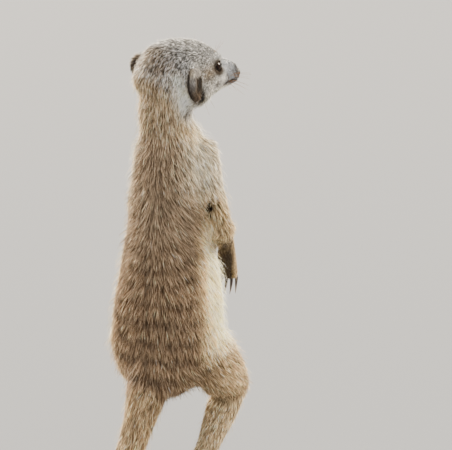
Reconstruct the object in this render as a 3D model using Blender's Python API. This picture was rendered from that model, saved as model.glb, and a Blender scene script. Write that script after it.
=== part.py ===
"""A standing meerkat, life size, as solids: smooth masses parted into the body's named pieces.

The frame is in metres with +Z up and the floor at z = 0. The trunk faces -Y, so the animal's left is +X.
Sizes in this file are millimetres, and a place is (left, forward, up). Outlines go out to the coat's tips.
Each mass is lofted from a few stations, fused with its neighbours into one skin, then parted by thin cuts.
"""

import math

import bmesh
import bpy
from mathutils import Matrix, Vector

MM = 0.001
GAP = 0.3  # between neighbouring pieces
RING = 28  # corners of a lofted ring
STEPS = 6  # rings between two stations
FAR = 600.0  # half the size of a block that stands for all of space

# Driving places of the pose, for the right side; the left side is given where it differs.
HEAD_CENTRE = (0.6, -3.0, 258.0)  # between the ears
HEAD_TURN = 29.0  # degrees towards the animal's right
HEAD_RAISE = 2.5  # degrees of nose above level
SHOULDER = {"right": (-18.0, 7.5, 210.0), "left": (17.5, 7.0, 209.0)}
UPPER_ARM = {"right": (-24.2, 6.0, 190.0), "left": (24.2, 12.0, 190.0)}
ELBOW = {"right": (-33.4, 1.5, 168.5), "left": (30.0, 18.0, 169.0)}
WRIST = {"right": (-22.4, 33.0, 150.0), "left": (17.5, 45.0, 147.0)}
HIP = (18.0, -7.0, 102.0)
MID_THIGH = (24.6, 9.0, 81.0)
KNEE = (28.0, 27.0, 61.0)
BELOW_KNEE = (27.0, 20.0, 53.0)
ANKLE = (23.0, -11.0, 15.0)
TOE_LINE = (26.5, 34.0, 4.6)  # where the toes leave the hind foot
HAND_DROP = (0.8, 3.0, -16.0)  # from the wrist to the knuckles
EYE = (10.8, 28.2, 4.2)
EYE_RADIUS = 4.9
EAR = (27.3, 1.6, -0.4)
EAR_SIZE = (3.8, 7.4, 11.2)  # half of its thickness, length and height
NOSE = (0.0, 51.2, -4.4)
NOSE_SIZE = (4.1, 3.9, 3.6)
DIGITS = (-1.5, -0.5, 0.5, 1.5)  # across a paw, in spacings

# (left, forward, up, half across, half deep) up the trunk and the neck
TRUNK = [
    (0, -6, 64, 12, 12),
    (0, -7, 73, 24, 22),
    (0, -6, 88, 32.5, 29),
    (0, -4, 104, 34.5, 32),
    (0, -2, 122, 33, 32),
    (0, -1, 138, 30.5, 30.5),
    (0, -1, 152, 28.3, 28.5),
    (0, -1, 170, 24.6, 26),
    (0, -1, 188, 23.4, 24.4),
    (0, -0.5, 204, 22.4, 23.6),
    (0.1, -1, 215, 20.4, 22.4),
    (0.4, -1.8, 223, 18.2, 19.8),
    (0.8, -3.2, 231, 16.2, 17.6),
    (1.2, -4.5, 240, 16, 16.6),
    (0.8, -5, 252, 15, 15.5),
]
TAIL = [
    (0, -20, 88, 17, 16),
    (0, -30, 74, 13.5, 13),
    (0.5, -42, 55, 10, 10),
    (2, -54, 37, 8.4, 8.4),
    (5, -70, 20.5, 7.4, 7.4),
    (11, -90, 9.6, 6.6, 6.8),
    (21, -112, 5.6, 6, 6.2),
    (34, -135, 4.8, 5.4, 5.5),
    (49, -157, 4.2, 4.8, 4.9),
    (63, -175, 3.6, 3.9, 4.2),
    (72, -187, 2.8, 2, 2.4),
]
# (forward, top, bottom, half across) along the head, from its back to the muzzle
HEAD = [
    (-18, 3, -6, 7),
    (-15.5, 12, -13, 14.5),
    (-9, 18.8, -18.5, 20.5),
    (0, 22.2, -20, 23.4),
    (9, 22.9, -20.2, 23.6),
    (17, 21.2, -18.8, 21.6),
    (24.5, 17, -17.6, 18.2),
    (31, 11.8, -16.4, 14.8),
    (36.5, 8.2, -15.3, 11.6),
    (41.5, 5.8, -14.2, 9),
    (46.5, 4, -12.8, 7.2),
    (50.5, 1.6, -11, 5.2),
    (53, -1.4, -8.8, 2.8),
]
# Masses that round the head out: centre, then half of its size to the left, forward and up
BROW = ((9.0, 26.0, 9.2), (6.0, 8.5, 4.2))
CHEEK = ((14.0, 9.0, -7.5), (10.0, 13.5, 9.8))
MUZZLE_PAD = ((3.6, 44.5, -7.0), (4.6, 8.0, 4.8))

# Cuts between pieces: a point on each, and its normal towards the piece that it parts off
THROAT_CUT = ((0, 5, -21), (0, 0.8, 0.6))  # in the head's own frame, as JAW_CUT is
JAW_CUT = ((0, 12, -22), (0, -0.25, 1))
NECK_CUT = ((0, 0, 225), (0, 0.1, 1))
ARM_INNER_CUT = ((14.5, 0, 224), (1, 0.3, 0.19))  # on the left; the right side mirrors it
ARM_REAR_CUT = ((0, -4.5, 0), (0, 1, 0))
BELOW_ELBOW = 4.0  # how far the upper arm's piece may reach under the elbow
STUB_BELOW_ELBOW = 10.5  # and how far the trunk is cleared there
THIGH_INNER_CUT = ((13.5, 0, 60), (1, 0.12, 0.1))
THIGH_TOP_CUT = ((0, 0, 97), (0, 0.35, -1))
ANKLE_CUT = ((23, -9, 15), (0, -0.35, 1))
TAIL_CUTS = {
    "tail_tip": ((34, -135, 5), (0.5, -1, 0)),
    "tail_middle": ((2.6, -58, 32), (0.1, -1, -1.2)),
    "tail_root": ((0, -33, 70), (0, -1, -1.1)),
}
FLOOR = ((0, 0, 0), (0, 0, 1))

# Linear colours and roughness of the materials
LOOKS = {
    "coat": ((0.42, 0.33, 0.23), 0.8),
    "head_coat": ((0.45, 0.42, 0.38), 0.8),
    "limb_coat": ((0.60, 0.54, 0.44), 0.8),
    "ear_coat": ((0.07, 0.05, 0.04), 0.8),
    "eye": ((0.012, 0.008, 0.006), 0.08),
    "claw": ((0.06, 0.045, 0.035), 0.4),
    "nose_leather": ((0.05, 0.04, 0.035), 0.45),
}


def at(left, forward, up):
    """A place in the animal's frame, in millimetres, as a Blender vector in metres."""
    return Vector((left, -forward, up)) * MM


def mirrored(place, side):
    """The place given for the left side, on this side."""
    return (place[0] if side == "left" else -place[0], *place[1:])


def clear_scene():
    for obj in list(bpy.data.objects):
        bpy.data.objects.remove(obj)


def material(name):
    """A Principled material in its linear RGB colour."""
    colour, roughness = LOOKS[name]
    made = bpy.data.materials.new(name)
    made.use_nodes = True
    shader = made.node_tree.nodes["Principled BSDF"]
    shader.inputs["Base Color"].default_value = (*colour, 1)
    shader.inputs["Roughness"].default_value = roughness
    shader.inputs["Metallic"].default_value = 0.0
    return made


def add_object(name, mesh):
    obj = bpy.data.objects.new(name, mesh)
    bpy.context.scene.collection.objects.link(obj)
    return obj


def from_bmesh(name, work):
    mesh = bpy.data.meshes.new(name)
    work.to_mesh(mesh)
    work.free()
    return add_object(name, mesh)


def bake(obj):
    """Replaces the object's mesh with what its modifiers make of it."""
    bpy.context.view_layer.update()
    graph = bpy.context.evaluated_depsgraph_get()
    mesh = bpy.data.meshes.new_from_object(obj.evaluated_get(graph))
    obj.modifiers.clear()
    obj.data = mesh
    return obj


def smooth_rows(rows, steps=STEPS):
    """Rows of numbers along a Catmull-Rom curve through the given ones."""
    made = []
    for i in range(len(rows) - 1):
        before, start, end, after = (
            rows[max(i - 1, 0)],
            rows[i],
            rows[i + 1],
            rows[min(i + 2, len(rows) - 1)],
        )
        for k in range(steps):
            t = k / steps
            made.append(
                [
                    0.5 * (2 * b + (c - a) * t + (2 * a - 5 * b + 4 * c - d) * t**2)
                    + 0.5 * (3 * b - a - 3 * c + d) * t**3
                    for a, b, c, d in zip(before, start, end, after)
                ]
            )
    made.append(list(rows[-1]))
    return made


def loft(name, stations, steps=STEPS, ring=RING):
    """A closed tube through (left, forward, up, half across, half deep) stations."""
    rows = smooth_rows(stations, steps)
    centres = [at(*row[:3]) for row in rows]
    work = bmesh.new()
    rings = []
    for i, (centre, row) in enumerate(zip(centres, rows)):
        along = centres[min(i + 1, len(rows) - 1)] - centres[max(i - 1, 0)]
        along.normalize()
        across = Vector((1, 0, 0))
        across = (across - along * across.dot(along)).normalized()
        deep = along.cross(across)
        corners = []
        for k in range(ring):
            turn = 2 * math.pi * k / ring
            offset = across * math.cos(turn) * row[3] + deep * math.sin(turn) * row[4]
            corners.append(work.verts.new(centre + offset * MM))
        rings.append(corners)
    for low, high in zip(rings, rings[1:]):
        for k in range(ring):
            work.faces.new((low[k], low[(k + 1) % ring], high[(k + 1) % ring], high[k]))
    work.faces.new(reversed(rings[0]))
    work.faces.new(rings[-1])
    return from_bmesh(name, work)


def blob(name, centre, radii, turn=None, segments=16):
    """An ellipsoid, turned by a matrix about its own centre."""
    work = bmesh.new()
    bmesh.ops.create_uvsphere(work, u_segments=segments, v_segments=segments // 2, radius=MM)
    size = Matrix.Diagonal((*radii, 1))
    place = Matrix.Translation(at(*centre))
    work.transform(place @ (turn or Matrix.Identity(4)) @ size)
    return from_bmesh(name, work)


def fuse(name, parts, voxel, smoothing, triangles):
    """One smooth closed mesh of about that many triangles, round all the parts."""
    work = bmesh.new()
    for part in parts:
        work.from_mesh(part.data)
        bpy.data.objects.remove(part)
    obj = from_bmesh(name, work)
    remesh = obj.modifiers.new("Remesh", "REMESH")
    remesh.mode = "VOXEL"
    remesh.voxel_size = voxel * MM
    soften = obj.modifiers.new("Smooth", "SMOOTH")
    soften.factor = 0.5
    soften.iterations = smoothing
    bake(obj)
    thin = obj.modifiers.new("Decimate", "DECIMATE")
    thin.ratio = triangles / (2 * len(obj.data.polygons))
    return bake(obj)


def grown(obj, by=GAP):
    """A copy of a mesh with its surface moved out by some millimetres."""
    mesh = obj.data.copy()
    normals = [vertex.normal.copy() for vertex in mesh.vertices]
    for vertex, normal in zip(mesh.vertices, normals):
        vertex.co += normal * by * MM
    return add_object(obj.name + "_grown", mesh)


def block(planes, ease=0.0):
    """The convex block on the inner side of each plane, moved out by ease.

    A plane is a point on it and its inward normal.
    """
    work = bmesh.new()
    bmesh.ops.create_cube(work, size=2 * FAR * MM)
    for point, normal in planes:
        inward = at(*normal).normalized()
        cut = bmesh.ops.bisect_plane(
            work,
            geom=work.verts[:] + work.edges[:] + work.faces[:],
            plane_co=at(*point) - inward * ease * MM,
            plane_no=inward,
            clear_inner=True,
        )
        rim = [item for item in cut["geom_cut"] if isinstance(item, bmesh.types.BMEdge)]
        bmesh.ops.contextual_create(work, geom=rim)
    bmesh.ops.recalc_face_normals(work, faces=work.faces[:])
    return from_bmesh("block", work)


def combine(obj, cutter, operation):
    """Applies a Boolean to the object, and removes the cutter."""
    modifier = obj.modifiers.new("Boolean", "BOOLEAN")
    modifier.operation = operation
    modifier.solver = "EXACT"
    modifier.object = cutter
    bake(obj)
    bpy.data.objects.remove(cutter)
    return obj


def largest_island(obj):
    """Drops every loose bit of the mesh but the largest one."""
    work = bmesh.new()
    work.from_mesh(obj.data)
    waiting = set(work.verts)
    islands = []
    while waiting:
        island, edge = set(), [waiting.pop()]
        while edge:
            vertex = edge.pop()
            island.add(vertex)
            near = {link.other_vert(vertex) for link in vertex.link_edges} & waiting
            waiting -= near
            edge.extend(near)
        islands.append(island)
    kept = max(islands, key=len)
    loose = [vertex for vertex in work.verts if vertex not in kept]
    bmesh.ops.delete(work, geom=loose, context="VERTS")
    work.to_mesh(obj.data)
    work.free()
    return obj


def part_off(name, mass, planes, cleared=None):
    """Parts off the piece of the mass inside the planes as its own object.

    The mass is then cleared from that block, or from a larger one inside the cleared planes.
    """
    piece = add_object(name, mass.data.copy())
    combine(piece, block(planes), "INTERSECT")
    combine(mass, block(cleared or planes, ease=GAP), "DIFFERENCE")
    largest_island(mass)
    return largest_island(piece)


def trim(obj, neighbour, by=GAP):
    """Cuts the object back from its neighbour, and leaves the gap between them."""
    return largest_island(combine(obj, grown(neighbour, by), "DIFFERENCE"))


def head_frame():
    """From the head's own places, level and facing forward, to the turned and raised head."""
    return (
        Matrix.Translation(at(*HEAD_CENTRE))
        @ Matrix.Rotation(math.radians(-HEAD_TURN), 4, "Z")
        @ Matrix.Rotation(math.radians(-HEAD_RAISE), 4, "X")
    )


def in_head(obj):
    obj.data.transform(head_frame())
    obj.data.update()
    return obj


def head_place(left, forward, up):
    """A place in the head's own frame, in the animal's frame, in millimetres."""
    place = head_frame() @ at(left, forward, up) / MM
    return (place.x, -place.y, place.z)


def head_direction(left, forward, up):
    turned = head_frame().to_3x3() @ Vector((left, -forward, up))
    return (turned.x, -turned.y, turned.z)


def head_parts():
    """The lofted skull with its brows, cheeks and muzzle pads."""
    rows = [
        (0, forward, (top + bottom) / 2, across, (top - bottom) / 2)
        for forward, top, bottom, across in HEAD
    ]
    parts = [loft("skull", rows)]
    for centre, radii in (BROW, CHEEK, MUZZLE_PAD):
        for side in ("left", "right"):
            parts.append(blob("mass", mirrored(centre, side), radii))
    return [in_head(part) for part in parts]


def upper_arm_parts(side):
    shoulder, middle, elbow, wrist = (
        place[side] for place in (SHOULDER, UPPER_ARM, ELBOW, WRIST)
    )
    beyond = Vector(elbow).lerp(Vector(wrist), 0.2)
    stations = [
        (shoulder[0] * 0.75, shoulder[1] - 1, shoulder[2] + 6, 8, 9),
        (*shoulder, 9.2, 11),
        (*middle, 7.8, 9.6),
        (*elbow, 6.8, 7.4),
        (*beyond, 5.6, 5.6),
    ]
    return [loft("upper_arm", stations)]


def thigh_parts(side):
    hip, middle, knee, beyond = (
        mirrored(place, side) for place in (HIP, MID_THIGH, KNEE, BELOW_KNEE)
    )
    stations = [(*hip, 17.5, 21), (*middle, 15.2, 19.5), (*knee, 11, 12.5), (*beyond, 9, 10)]
    return [loft("thigh", stations)]


def forearm_mass(side):
    """The forearm and the hanging hand with its four fingers."""
    elbow, wrist = Vector(ELBOW[side]), Vector(WRIST[side])
    drop = Vector(mirrored((-HAND_DROP[0], *HAND_DROP[1:]), side))
    knuckles = wrist + drop
    parts = [
        loft(
            "forearm",
            [
                (*(elbow + (elbow - wrist) * 0.25), 7, 8),
                (*elbow, 7.2, 8.2),
                (*elbow.lerp(wrist, 0.35), 6.8, 7.6),
                (*elbow.lerp(wrist, 0.75), 5.4, 6.2),
                (*wrist, 5.2, 5.4),
                (*(wrist + drop * 0.35), 5.6, 4.8),
                (*(wrist + drop * 0.8), 6.4, 4.4),
                (*(knuckles + drop * 0.1), 5.2, 3.4),
            ],
        )
    ]
    for digit in DIGITS:
        parts.append(finger(knuckles, digit))
    return fuse("forearm_mass_" + side, parts, voxel=0.6, smoothing=3, triangles=420)


def finger(knuckles, digit):
    reach = 9.0 - abs(digit)
    root = knuckles + Vector((3.0 * digit, 0, 2.5))
    tip = knuckles + Vector((3.5 * digit, 0.5, -reach))
    stations = [(*root, 2.1, 2.6), (*root.lerp(tip, 0.6), 2.1, 2.6), (*tip, 1.5, 2)]
    return loft("finger", stations, steps=4, ring=12)


def hand_claw(name, side, digit):
    """A long digging claw that curves back from a fingertip."""
    drop = Vector(mirrored((-HAND_DROP[0], *HAND_DROP[1:]), side))
    tip = Vector(WRIST[side]) + drop + Vector((3.5 * digit, 1.0, abs(digit) - 9.0))
    return loft(
        name,
        [
            (*(tip + Vector((0, 0.4, 3))), 0.9, 1.5),
            (*(tip + Vector((0, 0.6, -1.5))), 0.85, 1.4),
            (*(tip + Vector((0.1 * digit, 0, -5))), 0.7, 1.0),
            (*(tip + Vector((0.2 * digit, -2, -8))), 0.35, 0.4),
        ],
        steps=1,
        ring=6,
    )


def leg_mass(side):
    """The shank and the hind foot with its four toes."""
    knee, ankle, toes = (Vector(mirrored(p, side)) for p in (KNEE, ANKLE, TOE_LINE))
    shank = loft(
        "shank",
        [
            (*(knee + Vector((0, 1, 9))), 10, 11),
            (*knee, 10.4, 11.5),
            (*knee.lerp(ankle, 0.3), 9.4, 11),
            (*knee.lerp(ankle, 0.65), 7, 8.4),
            (*ankle, 6, 6.8),
            (*(ankle + Vector((0, -2, -7))), 5.4, 5.6),
        ],
    )
    heel = Vector((ankle.x, -16.5, 5.0))
    sole = loft(
        "sole",
        [
            (*heel, 3.4, 3.6),
            (*(heel + Vector((0, 3.5, 1))), 5.6, 5.8),
            (*heel.lerp(toes, 0.35), 6.2, 6.6),
            (*heel.lerp(toes, 0.7), 6.9, 5.8),
            (*toes, 8.2, 4.8),
            (*(toes + Vector((0, 5, -0.4))), 7, 3.8),
        ],
    )
    parts = [shank, sole] + [toe(toes, digit) for digit in DIGITS]
    mass = fuse("leg_mass_" + side, parts, voxel=0.8, smoothing=3, triangles=460)
    return combine(mass, block([FLOOR]), "INTERSECT")


def toe(toes, digit):
    reach = 12.5 - 1.2 * abs(digit)
    root = toes + Vector((3.9 * digit, -2, -1))
    tip = toes + Vector((4.4 * digit, reach, -2))
    stations = [(*root, 2.5, 3.2), (*root.lerp(tip, 0.65), 2.6, 3.4), (*tip, 1.9, 2.4)]
    return loft("toe", stations, steps=4, ring=12)


def foot_claw(name, side, digit):
    """A shorter claw that slopes forward and down to the floor."""
    toes = Vector(mirrored(TOE_LINE, side))
    tip = toes + Vector((4.4 * digit, 12.5 - 1.2 * abs(digit), -1.0))
    return loft(
        name,
        [
            (*(tip + Vector((0, -3, 0.4))), 0.9, 1.3),
            (*(tip + Vector((0, 2, 0.2))), 0.85, 1.2),
            (*(tip + Vector((0, 5, -0.8))), 0.6, 0.8),
            (*(tip + Vector((0, 7.2, -2.4))), 0.3, 0.3),
        ],
        steps=1,
        ring=6,
    )


def eye(side):
    return in_head(blob("eye_" + side, mirrored(EYE, side), [EYE_RADIUS] * 3))


def ear(side):
    """A rounded ear flap, hollowed on the side that faces forward and out."""
    out = 1 if side == "left" else -1
    turn = (
        Matrix.Rotation(math.radians(-out * 32), 4, "Z")
        @ Matrix.Rotation(math.radians(-9), 4, "X")
    )
    flap = blob("ear_" + side, mirrored(EAR, side), EAR_SIZE, turn)
    hollow_at = mirrored((EAR[0] + 3.8, EAR[1] + 2.6, EAR[2] - 0.5), side)
    hollow = blob("hollow", hollow_at, (3.6, 6.2, 9.0), turn)
    return in_head(combine(flap, hollow, "DIFFERENCE"))


def torso_mass():
    """Trunk, neck, head, upper arms, thighs and tail as one smooth mesh."""
    parts = [loft("trunk", TRUNK), loft("tail", TAIL)] + head_parts()
    for side in ("left", "right"):
        parts += upper_arm_parts(side) + thigh_parts(side)
    return fuse("trunk", parts, voxel=1.2, smoothing=6, triangles=2700)


def elbow_plane(side):
    """(point, normal towards the shoulder) of the cut across the elbow."""
    elbow = Vector(ELBOW[side])
    upper = (Vector(UPPER_ARM[side]) - elbow).normalized()
    lower = (elbow - Vector(WRIST[side])).normalized()
    return tuple(elbow), tuple((upper + lower).normalized())


def knee_plane(side):
    knee = Vector(mirrored(KNEE, side))
    upper = (Vector(mirrored(MID_THIGH, side)) - knee).normalized()
    lower = (knee - Vector(mirrored(ANKLE, side))).normalized()
    return tuple(knee), tuple((upper + lower).normalized())


def mirrored_plane(plane, side):
    """The plane given for the left side, on this side."""
    return mirrored(plane[0], side), mirrored(plane[1], side)


def flipped(plane):
    return plane[0], tuple(-x for x in plane[1])


def wrist_plane(side):
    """(point, normal towards the elbow) of the cut across the wrist."""
    wrist = Vector(WRIST[side])
    return tuple(wrist), tuple((Vector(ELBOW[side]) - wrist).normalized() + Vector((0, 0, 1)))


def part_head(torso):
    """Head and neck, with sockets for the eyes and a seat for the nose."""
    cuts = [(head_place(*point), head_direction(*way)) for point, way in (THROAT_CUT, JAW_CUT)]
    head = part_off("head", torso, cuts)
    eyes = [eye("left"), eye("right")]
    nose = in_head(blob("nose", NOSE, NOSE_SIZE, segments=14))
    for piece in (*eyes, nose):
        combine(head, grown(piece), "DIFFERENCE")
    largest_island(head)
    ears = [ear("left"), ear("right")]
    for flap in ears:
        trim(flap, head)
        trim(flap, torso)
    neck = part_off("neck", torso, [NECK_CUT])
    return [head, neck], ears, [*eyes, nose]


def part_arm(torso, side):
    """Upper arm, forearm and hand, and the hand's claws."""
    inner, elbow = mirrored_plane(ARM_INNER_CUT, side), elbow_plane(side)
    armpit, stub_end = (
        ((0, 0, ELBOW[side][2] - below), (0, 0, 1)) for below in (BELOW_ELBOW, STUB_BELOW_ELBOW)
    )
    upper = part_off(
        "upper_arm_" + side,
        torso,
        [inner, ARM_REAR_CUT, armpit, elbow],
        cleared=[inner, ARM_REAR_CUT, stub_end],
    )
    mass = forearm_mass(side)
    combine(mass, block([flipped(elbow)], ease=-GAP), "INTERSECT")
    belly = loft("belly", TRUNK)
    trim(mass, belly)
    bpy.data.objects.remove(belly)
    forearm = part_off("forearm_" + side, mass, [wrist_plane(side)])
    hand = largest_island(mass)
    hand.name = "hand_" + side
    claws = []
    for number, digit in enumerate(DIGITS, 1):
        claws.append(trim(hand_claw(f"claw_hand_{side}_{number}", side, digit), hand))
    return [upper, forearm, hand], claws


def part_leg(torso, side):
    """Thigh, shank and foot, and the foot's claws."""
    knee = knee_plane(side)
    inner = mirrored_plane(THIGH_INNER_CUT, side)
    thigh = part_off("thigh_" + side, torso, [inner, THIGH_TOP_CUT, knee])
    mass = leg_mass(side)
    combine(mass, block([flipped(knee)], ease=-GAP), "INTERSECT")
    shank = part_off("shank_" + side, mass, [mirrored_plane(ANKLE_CUT, side)])
    foot = largest_island(mass)
    foot.name = "foot_" + side
    claws = []
    for number, digit in enumerate(DIGITS, 1):
        claws.append(trim(foot_claw(f"claw_foot_{side}_{number}", side, digit), foot))
    return [thigh, shank, foot], claws


def part_tail(torso):
    """The tail in three lengths, with small flats where it lies on the floor."""
    combine(torso, block([FLOOR]), "INTERSECT")
    return [part_off(name, torso, [cut]) for name, cut in TAIL_CUTS.items()]


def finish(pieces, look):
    for piece in pieces:
        piece.data.materials.clear()
        piece.data.materials.append(look)
        piece.data.name = piece.name
        piece.data.shade_smooth()


def centre_on_floor(pieces):
    """Puts the frame's origin on the floor under the middle of the whole model."""
    corners = [piece.matrix_world @ Vector(c) for piece in pieces for c in piece.bound_box]
    low, high = (Vector(map(pick, zip(*corners))) for pick in (min, max))
    shift = Matrix.Translation((-(low.x + high.x) / 2, -(low.y + high.y) / 2, 0))
    for piece in pieces:
        piece.data.transform(shift)


def build():
    clear_scene()
    torso = torso_mass()
    tail = part_tail(torso)
    head, ears, (left_eye, right_eye, nose) = part_head(torso)
    limbs, claws = [], []
    for side in ("left", "right"):
        for part_limb in (part_arm, part_leg):
            flesh, nails = part_limb(torso, side)
            limbs += flesh
            claws += nails
    groups = {
        "coat": [torso, *tail],
        "head_coat": head,
        "limb_coat": limbs,
        "ear_coat": ears,
        "eye": [left_eye, right_eye],
        "claw": claws,
        "nose_leather": [nose],
    }
    for look, pieces in groups.items():
        finish(pieces, material(look))
    bpy.context.view_layer.update()
    centre_on_floor([*bpy.context.scene.objects])


build()
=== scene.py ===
import math

import bmesh
import bpy
import numpy as np
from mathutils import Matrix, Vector
from mathutils.bvhtree import BVHTree
from mathutils.kdtree import KDTree


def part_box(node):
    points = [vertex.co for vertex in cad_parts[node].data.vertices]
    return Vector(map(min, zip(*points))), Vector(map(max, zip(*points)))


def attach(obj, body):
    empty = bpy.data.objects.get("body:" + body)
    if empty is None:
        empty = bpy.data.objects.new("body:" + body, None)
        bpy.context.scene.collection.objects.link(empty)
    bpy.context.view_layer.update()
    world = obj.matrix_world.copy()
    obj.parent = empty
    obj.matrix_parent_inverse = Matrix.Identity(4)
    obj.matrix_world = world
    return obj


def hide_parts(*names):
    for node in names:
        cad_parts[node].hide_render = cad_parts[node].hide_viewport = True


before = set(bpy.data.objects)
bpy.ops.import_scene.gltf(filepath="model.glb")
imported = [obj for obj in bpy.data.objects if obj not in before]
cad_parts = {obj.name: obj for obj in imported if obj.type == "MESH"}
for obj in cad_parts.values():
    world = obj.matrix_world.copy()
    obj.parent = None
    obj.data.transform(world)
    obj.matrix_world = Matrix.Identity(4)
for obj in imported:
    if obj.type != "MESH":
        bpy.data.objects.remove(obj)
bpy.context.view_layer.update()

# A meerkat standing upright. Places and lengths are millimetres until a mesh is made. Materials and
# lights are given in metres. Head coordinates are (left, forward, up) from a point between the ears.

MM = 0.001
SEED = 7
SIDES = ("left", "right")
MIRROR = {"left": 1, "right": -1}  # what a side's distances to the left are multiplied by
UP = np.array([0.0, 0.0, 1.0])
FORWARD = np.array([0.0, -1.0, 0.0])
LEFT = np.array([1.0, 0.0, 0.0])

# Where the eyes and nose are in head coordinates, which fixes the head's frame.
EYE_FORWARD, EYE_UP = 28.2, 4.2
NOSE_BELOW_EYES = math.radians(20.5)

# The skin's making
VOXEL = 0.9
SWELL = 0.4  # closes the gaps between neighbouring nodes
SMOOTHINGS = 8
SOFTENINGS = 70
RELAX_IN, RELAX_OUT = 0.5, 0.52  # each smoothing's step in, and its step back out
SPOT_STEP = 2.5  # how much nearer each further division of a spot ends
# How many passes blend the regions, the coat's depth, the normals and the coat's lie
REGION_PASSES, DEPTH_PASSES, NORMAL_PASSES, LIE_PASSES = 60, 30, 6, 90
LAST_SMOOTHINGS = 3


def pair(name):
    """A part's two nodes."""
    return name + "_left", name + "_right"


# Regions of the body: the nodes that each holds, the coat's depth, a tuft's length and width, tufts per
# square millimetre, and the sRGB colour away from its own markings.
REGIONS = {
    "head": (("head", *pair("eye"), "nose"), 1.6, 3.2, 0.26, 7.6, (148, 148, 147)),
    "ear": (pair("ear"), 0.5, 2.4, 0.24, 7.0, (58, 50, 45)),
    "neck": (("neck",), 2.8, 6.6, 0.32, 6.2, (150, 130, 104)),
    "trunk": (("trunk",), 3.0, 7.8, 0.33, 5.2, (118, 99, 79)),
    "upper_arm": (pair("upper_arm"), 2.2, 6.5, 0.32, 4.6, (166, 153, 132)),
    "forearm": (pair("forearm"), 1.4, 4.6, 0.30, 4.8, (158, 138, 108)),
    "hand": (pair("hand"), 0.5, 1.9, 0.24, 4.8, (92, 78, 62)),
    "thigh": (pair("thigh"), 2.6, 7.5, 0.38, 3.6, (136, 114, 86)),
    "shank": (pair("shank"), 1.4, 4.6, 0.34, 3.4, (160, 140, 110)),
    "foot": (pair("foot"), 0.4, 2.0, 0.28, 3.2, (124, 106, 84)),
    "tail": (("tail_root", "tail_middle"), 1.8, 6.5, 0.38, 3.4, (146, 122, 90)),
    "tail_tip": (("tail_tip",), 1.5, 6.5, 0.36, 4.0, (120, 98, 72)),
}
DEPTH, LENGTH, WIDTH, DENSITY, GROUND = 1, 2, 3, 4, 5  # columns of REGIONS
REGION_NAMES = list(REGIONS)
LIMBS = {"hand": ("upper_arm", "forearm", "hand"), "foot": ("thigh", "shank", "foot")}
PAWS = [(paw, side) for paw in LIMBS for side in SIDES]


def srgb(*channels):
    """A colour given as 0-255 channels, as linear light."""
    c = np.array(channels, float) / 255
    return np.where(c <= 0.04045, c / 12.92, ((c + 0.055) / 1.055) ** 2.4)


def unit(v):
    v = np.asarray(v, float)
    return v / np.maximum(np.linalg.norm(v, axis=-1, keepdims=True), 1e-9)


def smoothstep(low, high, x):
    t = np.clip((np.asarray(x, float) - low) / (high - low), 0, 1)
    return t * t * (3 - 2 * t)


def band(start, full, last, end, x):
    """1 from full to last, falling to 0 at start and end."""
    return smoothstep(start, full, x) * smoothstep(end, last, x)


def peak(*offsets):
    """1 where every offset is 0, falling towards 0 as they pass 1 either way."""
    return np.exp(-sum(x**2 for x in offsets))


def peak_at(points, place, radii):
    """1 at a place, falling towards 0 past these radii."""
    return peak(*((points - place) / radii).T)


def share_along(points, start, end):
    """0 at a line's start and 1 at its end."""
    return (points - start) @ unit(end - start) / np.linalg.norm(end - start)


def how_far(points, place):
    return np.linalg.norm(points - place, axis=1)


def farthest(points, place):
    return points[np.argmax(how_far(points, place))]


def square_to(ways, normals):
    """Directions turned until they're at right angles to the normals."""
    return unit(ways - normals * np.sum(ways * normals, axis=1)[:, None])


def mixed(a, b, share):
    """a where share is 0 and b where it is 1, for numbers or colours."""
    share = np.asarray(share, float)
    if share.ndim and np.shape(a)[-1:] == (3,):
        share = share[..., None]
    return a + (b - a) * share


def painted(colour, *layers):
    """A colour under layers, each given as its sRGB colour and its share."""
    for paint, share in layers:
        colour = mixed(colour, srgb(*paint), share)
    return colour


LUMP_WAVES, LUMP_HEIGHT = 7, 3.0


def lumps(points, size, seed):
    """Smooth noise from -1 to 1, with lumps about this many millimetres across."""
    rng = np.random.default_rng(seed)
    total = np.zeros(len(points))
    for _ in range(LUMP_WAVES):
        way = unit(rng.normal(size=3)) * rng.uniform(0.6, 1.5) * math.pi / size
        total += np.sin(points @ way + rng.uniform(0, 2 * math.pi))
    return np.clip(total / LUMP_HEIGHT, -1, 1)


# Landmarks ---------------------------------------------------------------------------------------

AXIS_SHARE = 0.418  # where the body's axis lies, from the trunk's front to its back


def box_mm(node):
    low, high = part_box(node)
    return np.array(low) / MM, np.array(high) / MM


def centre(node):
    low, high = box_mm(node)
    return (low + high) / 2


def body_axis():
    """Where the standing body's axis meets the floor."""
    low, high = box_mm("trunk")
    return np.array([(low[0] + high[0]) / 2, low[1] + AXIS_SHARE * (high[1] - low[1]), 0.0])


def tail_base(shoulders):
    """The trunk's lowest height, straight under the shoulders."""
    low, _ = box_mm("trunk")
    return np.array([shoulders[0], shoulders[1], low[2]])


def flesh_nodes():
    """The nodes that the skin is made from, region by region."""
    return [n for nodes, *_ in REGIONS.values() for n in nodes]


def node_shape(node):
    """A node's welded points and its faces."""
    bm = bmesh.new()
    bm.from_mesh(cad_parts[node].data)
    bmesh.ops.remove_doubles(bm, verts=bm.verts, dist=1e-6)
    points = np.array([v.co for v in bm.verts]) / MM
    faces = [[v.index for v in f.verts] for f in bm.faces]
    bm.free()
    return points, faces


def joint_between(a, b):
    """The middle of the cut where node a meets node b."""
    points, _ = shapes[a]
    tree = BVHTree.FromPolygons(shapes[b][0].tolist(), shapes[b][1])
    near = [p for p in points if tree.find_nearest(Vector(p), 1.0)[0] is not None]
    return np.mean(near, axis=0)


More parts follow.
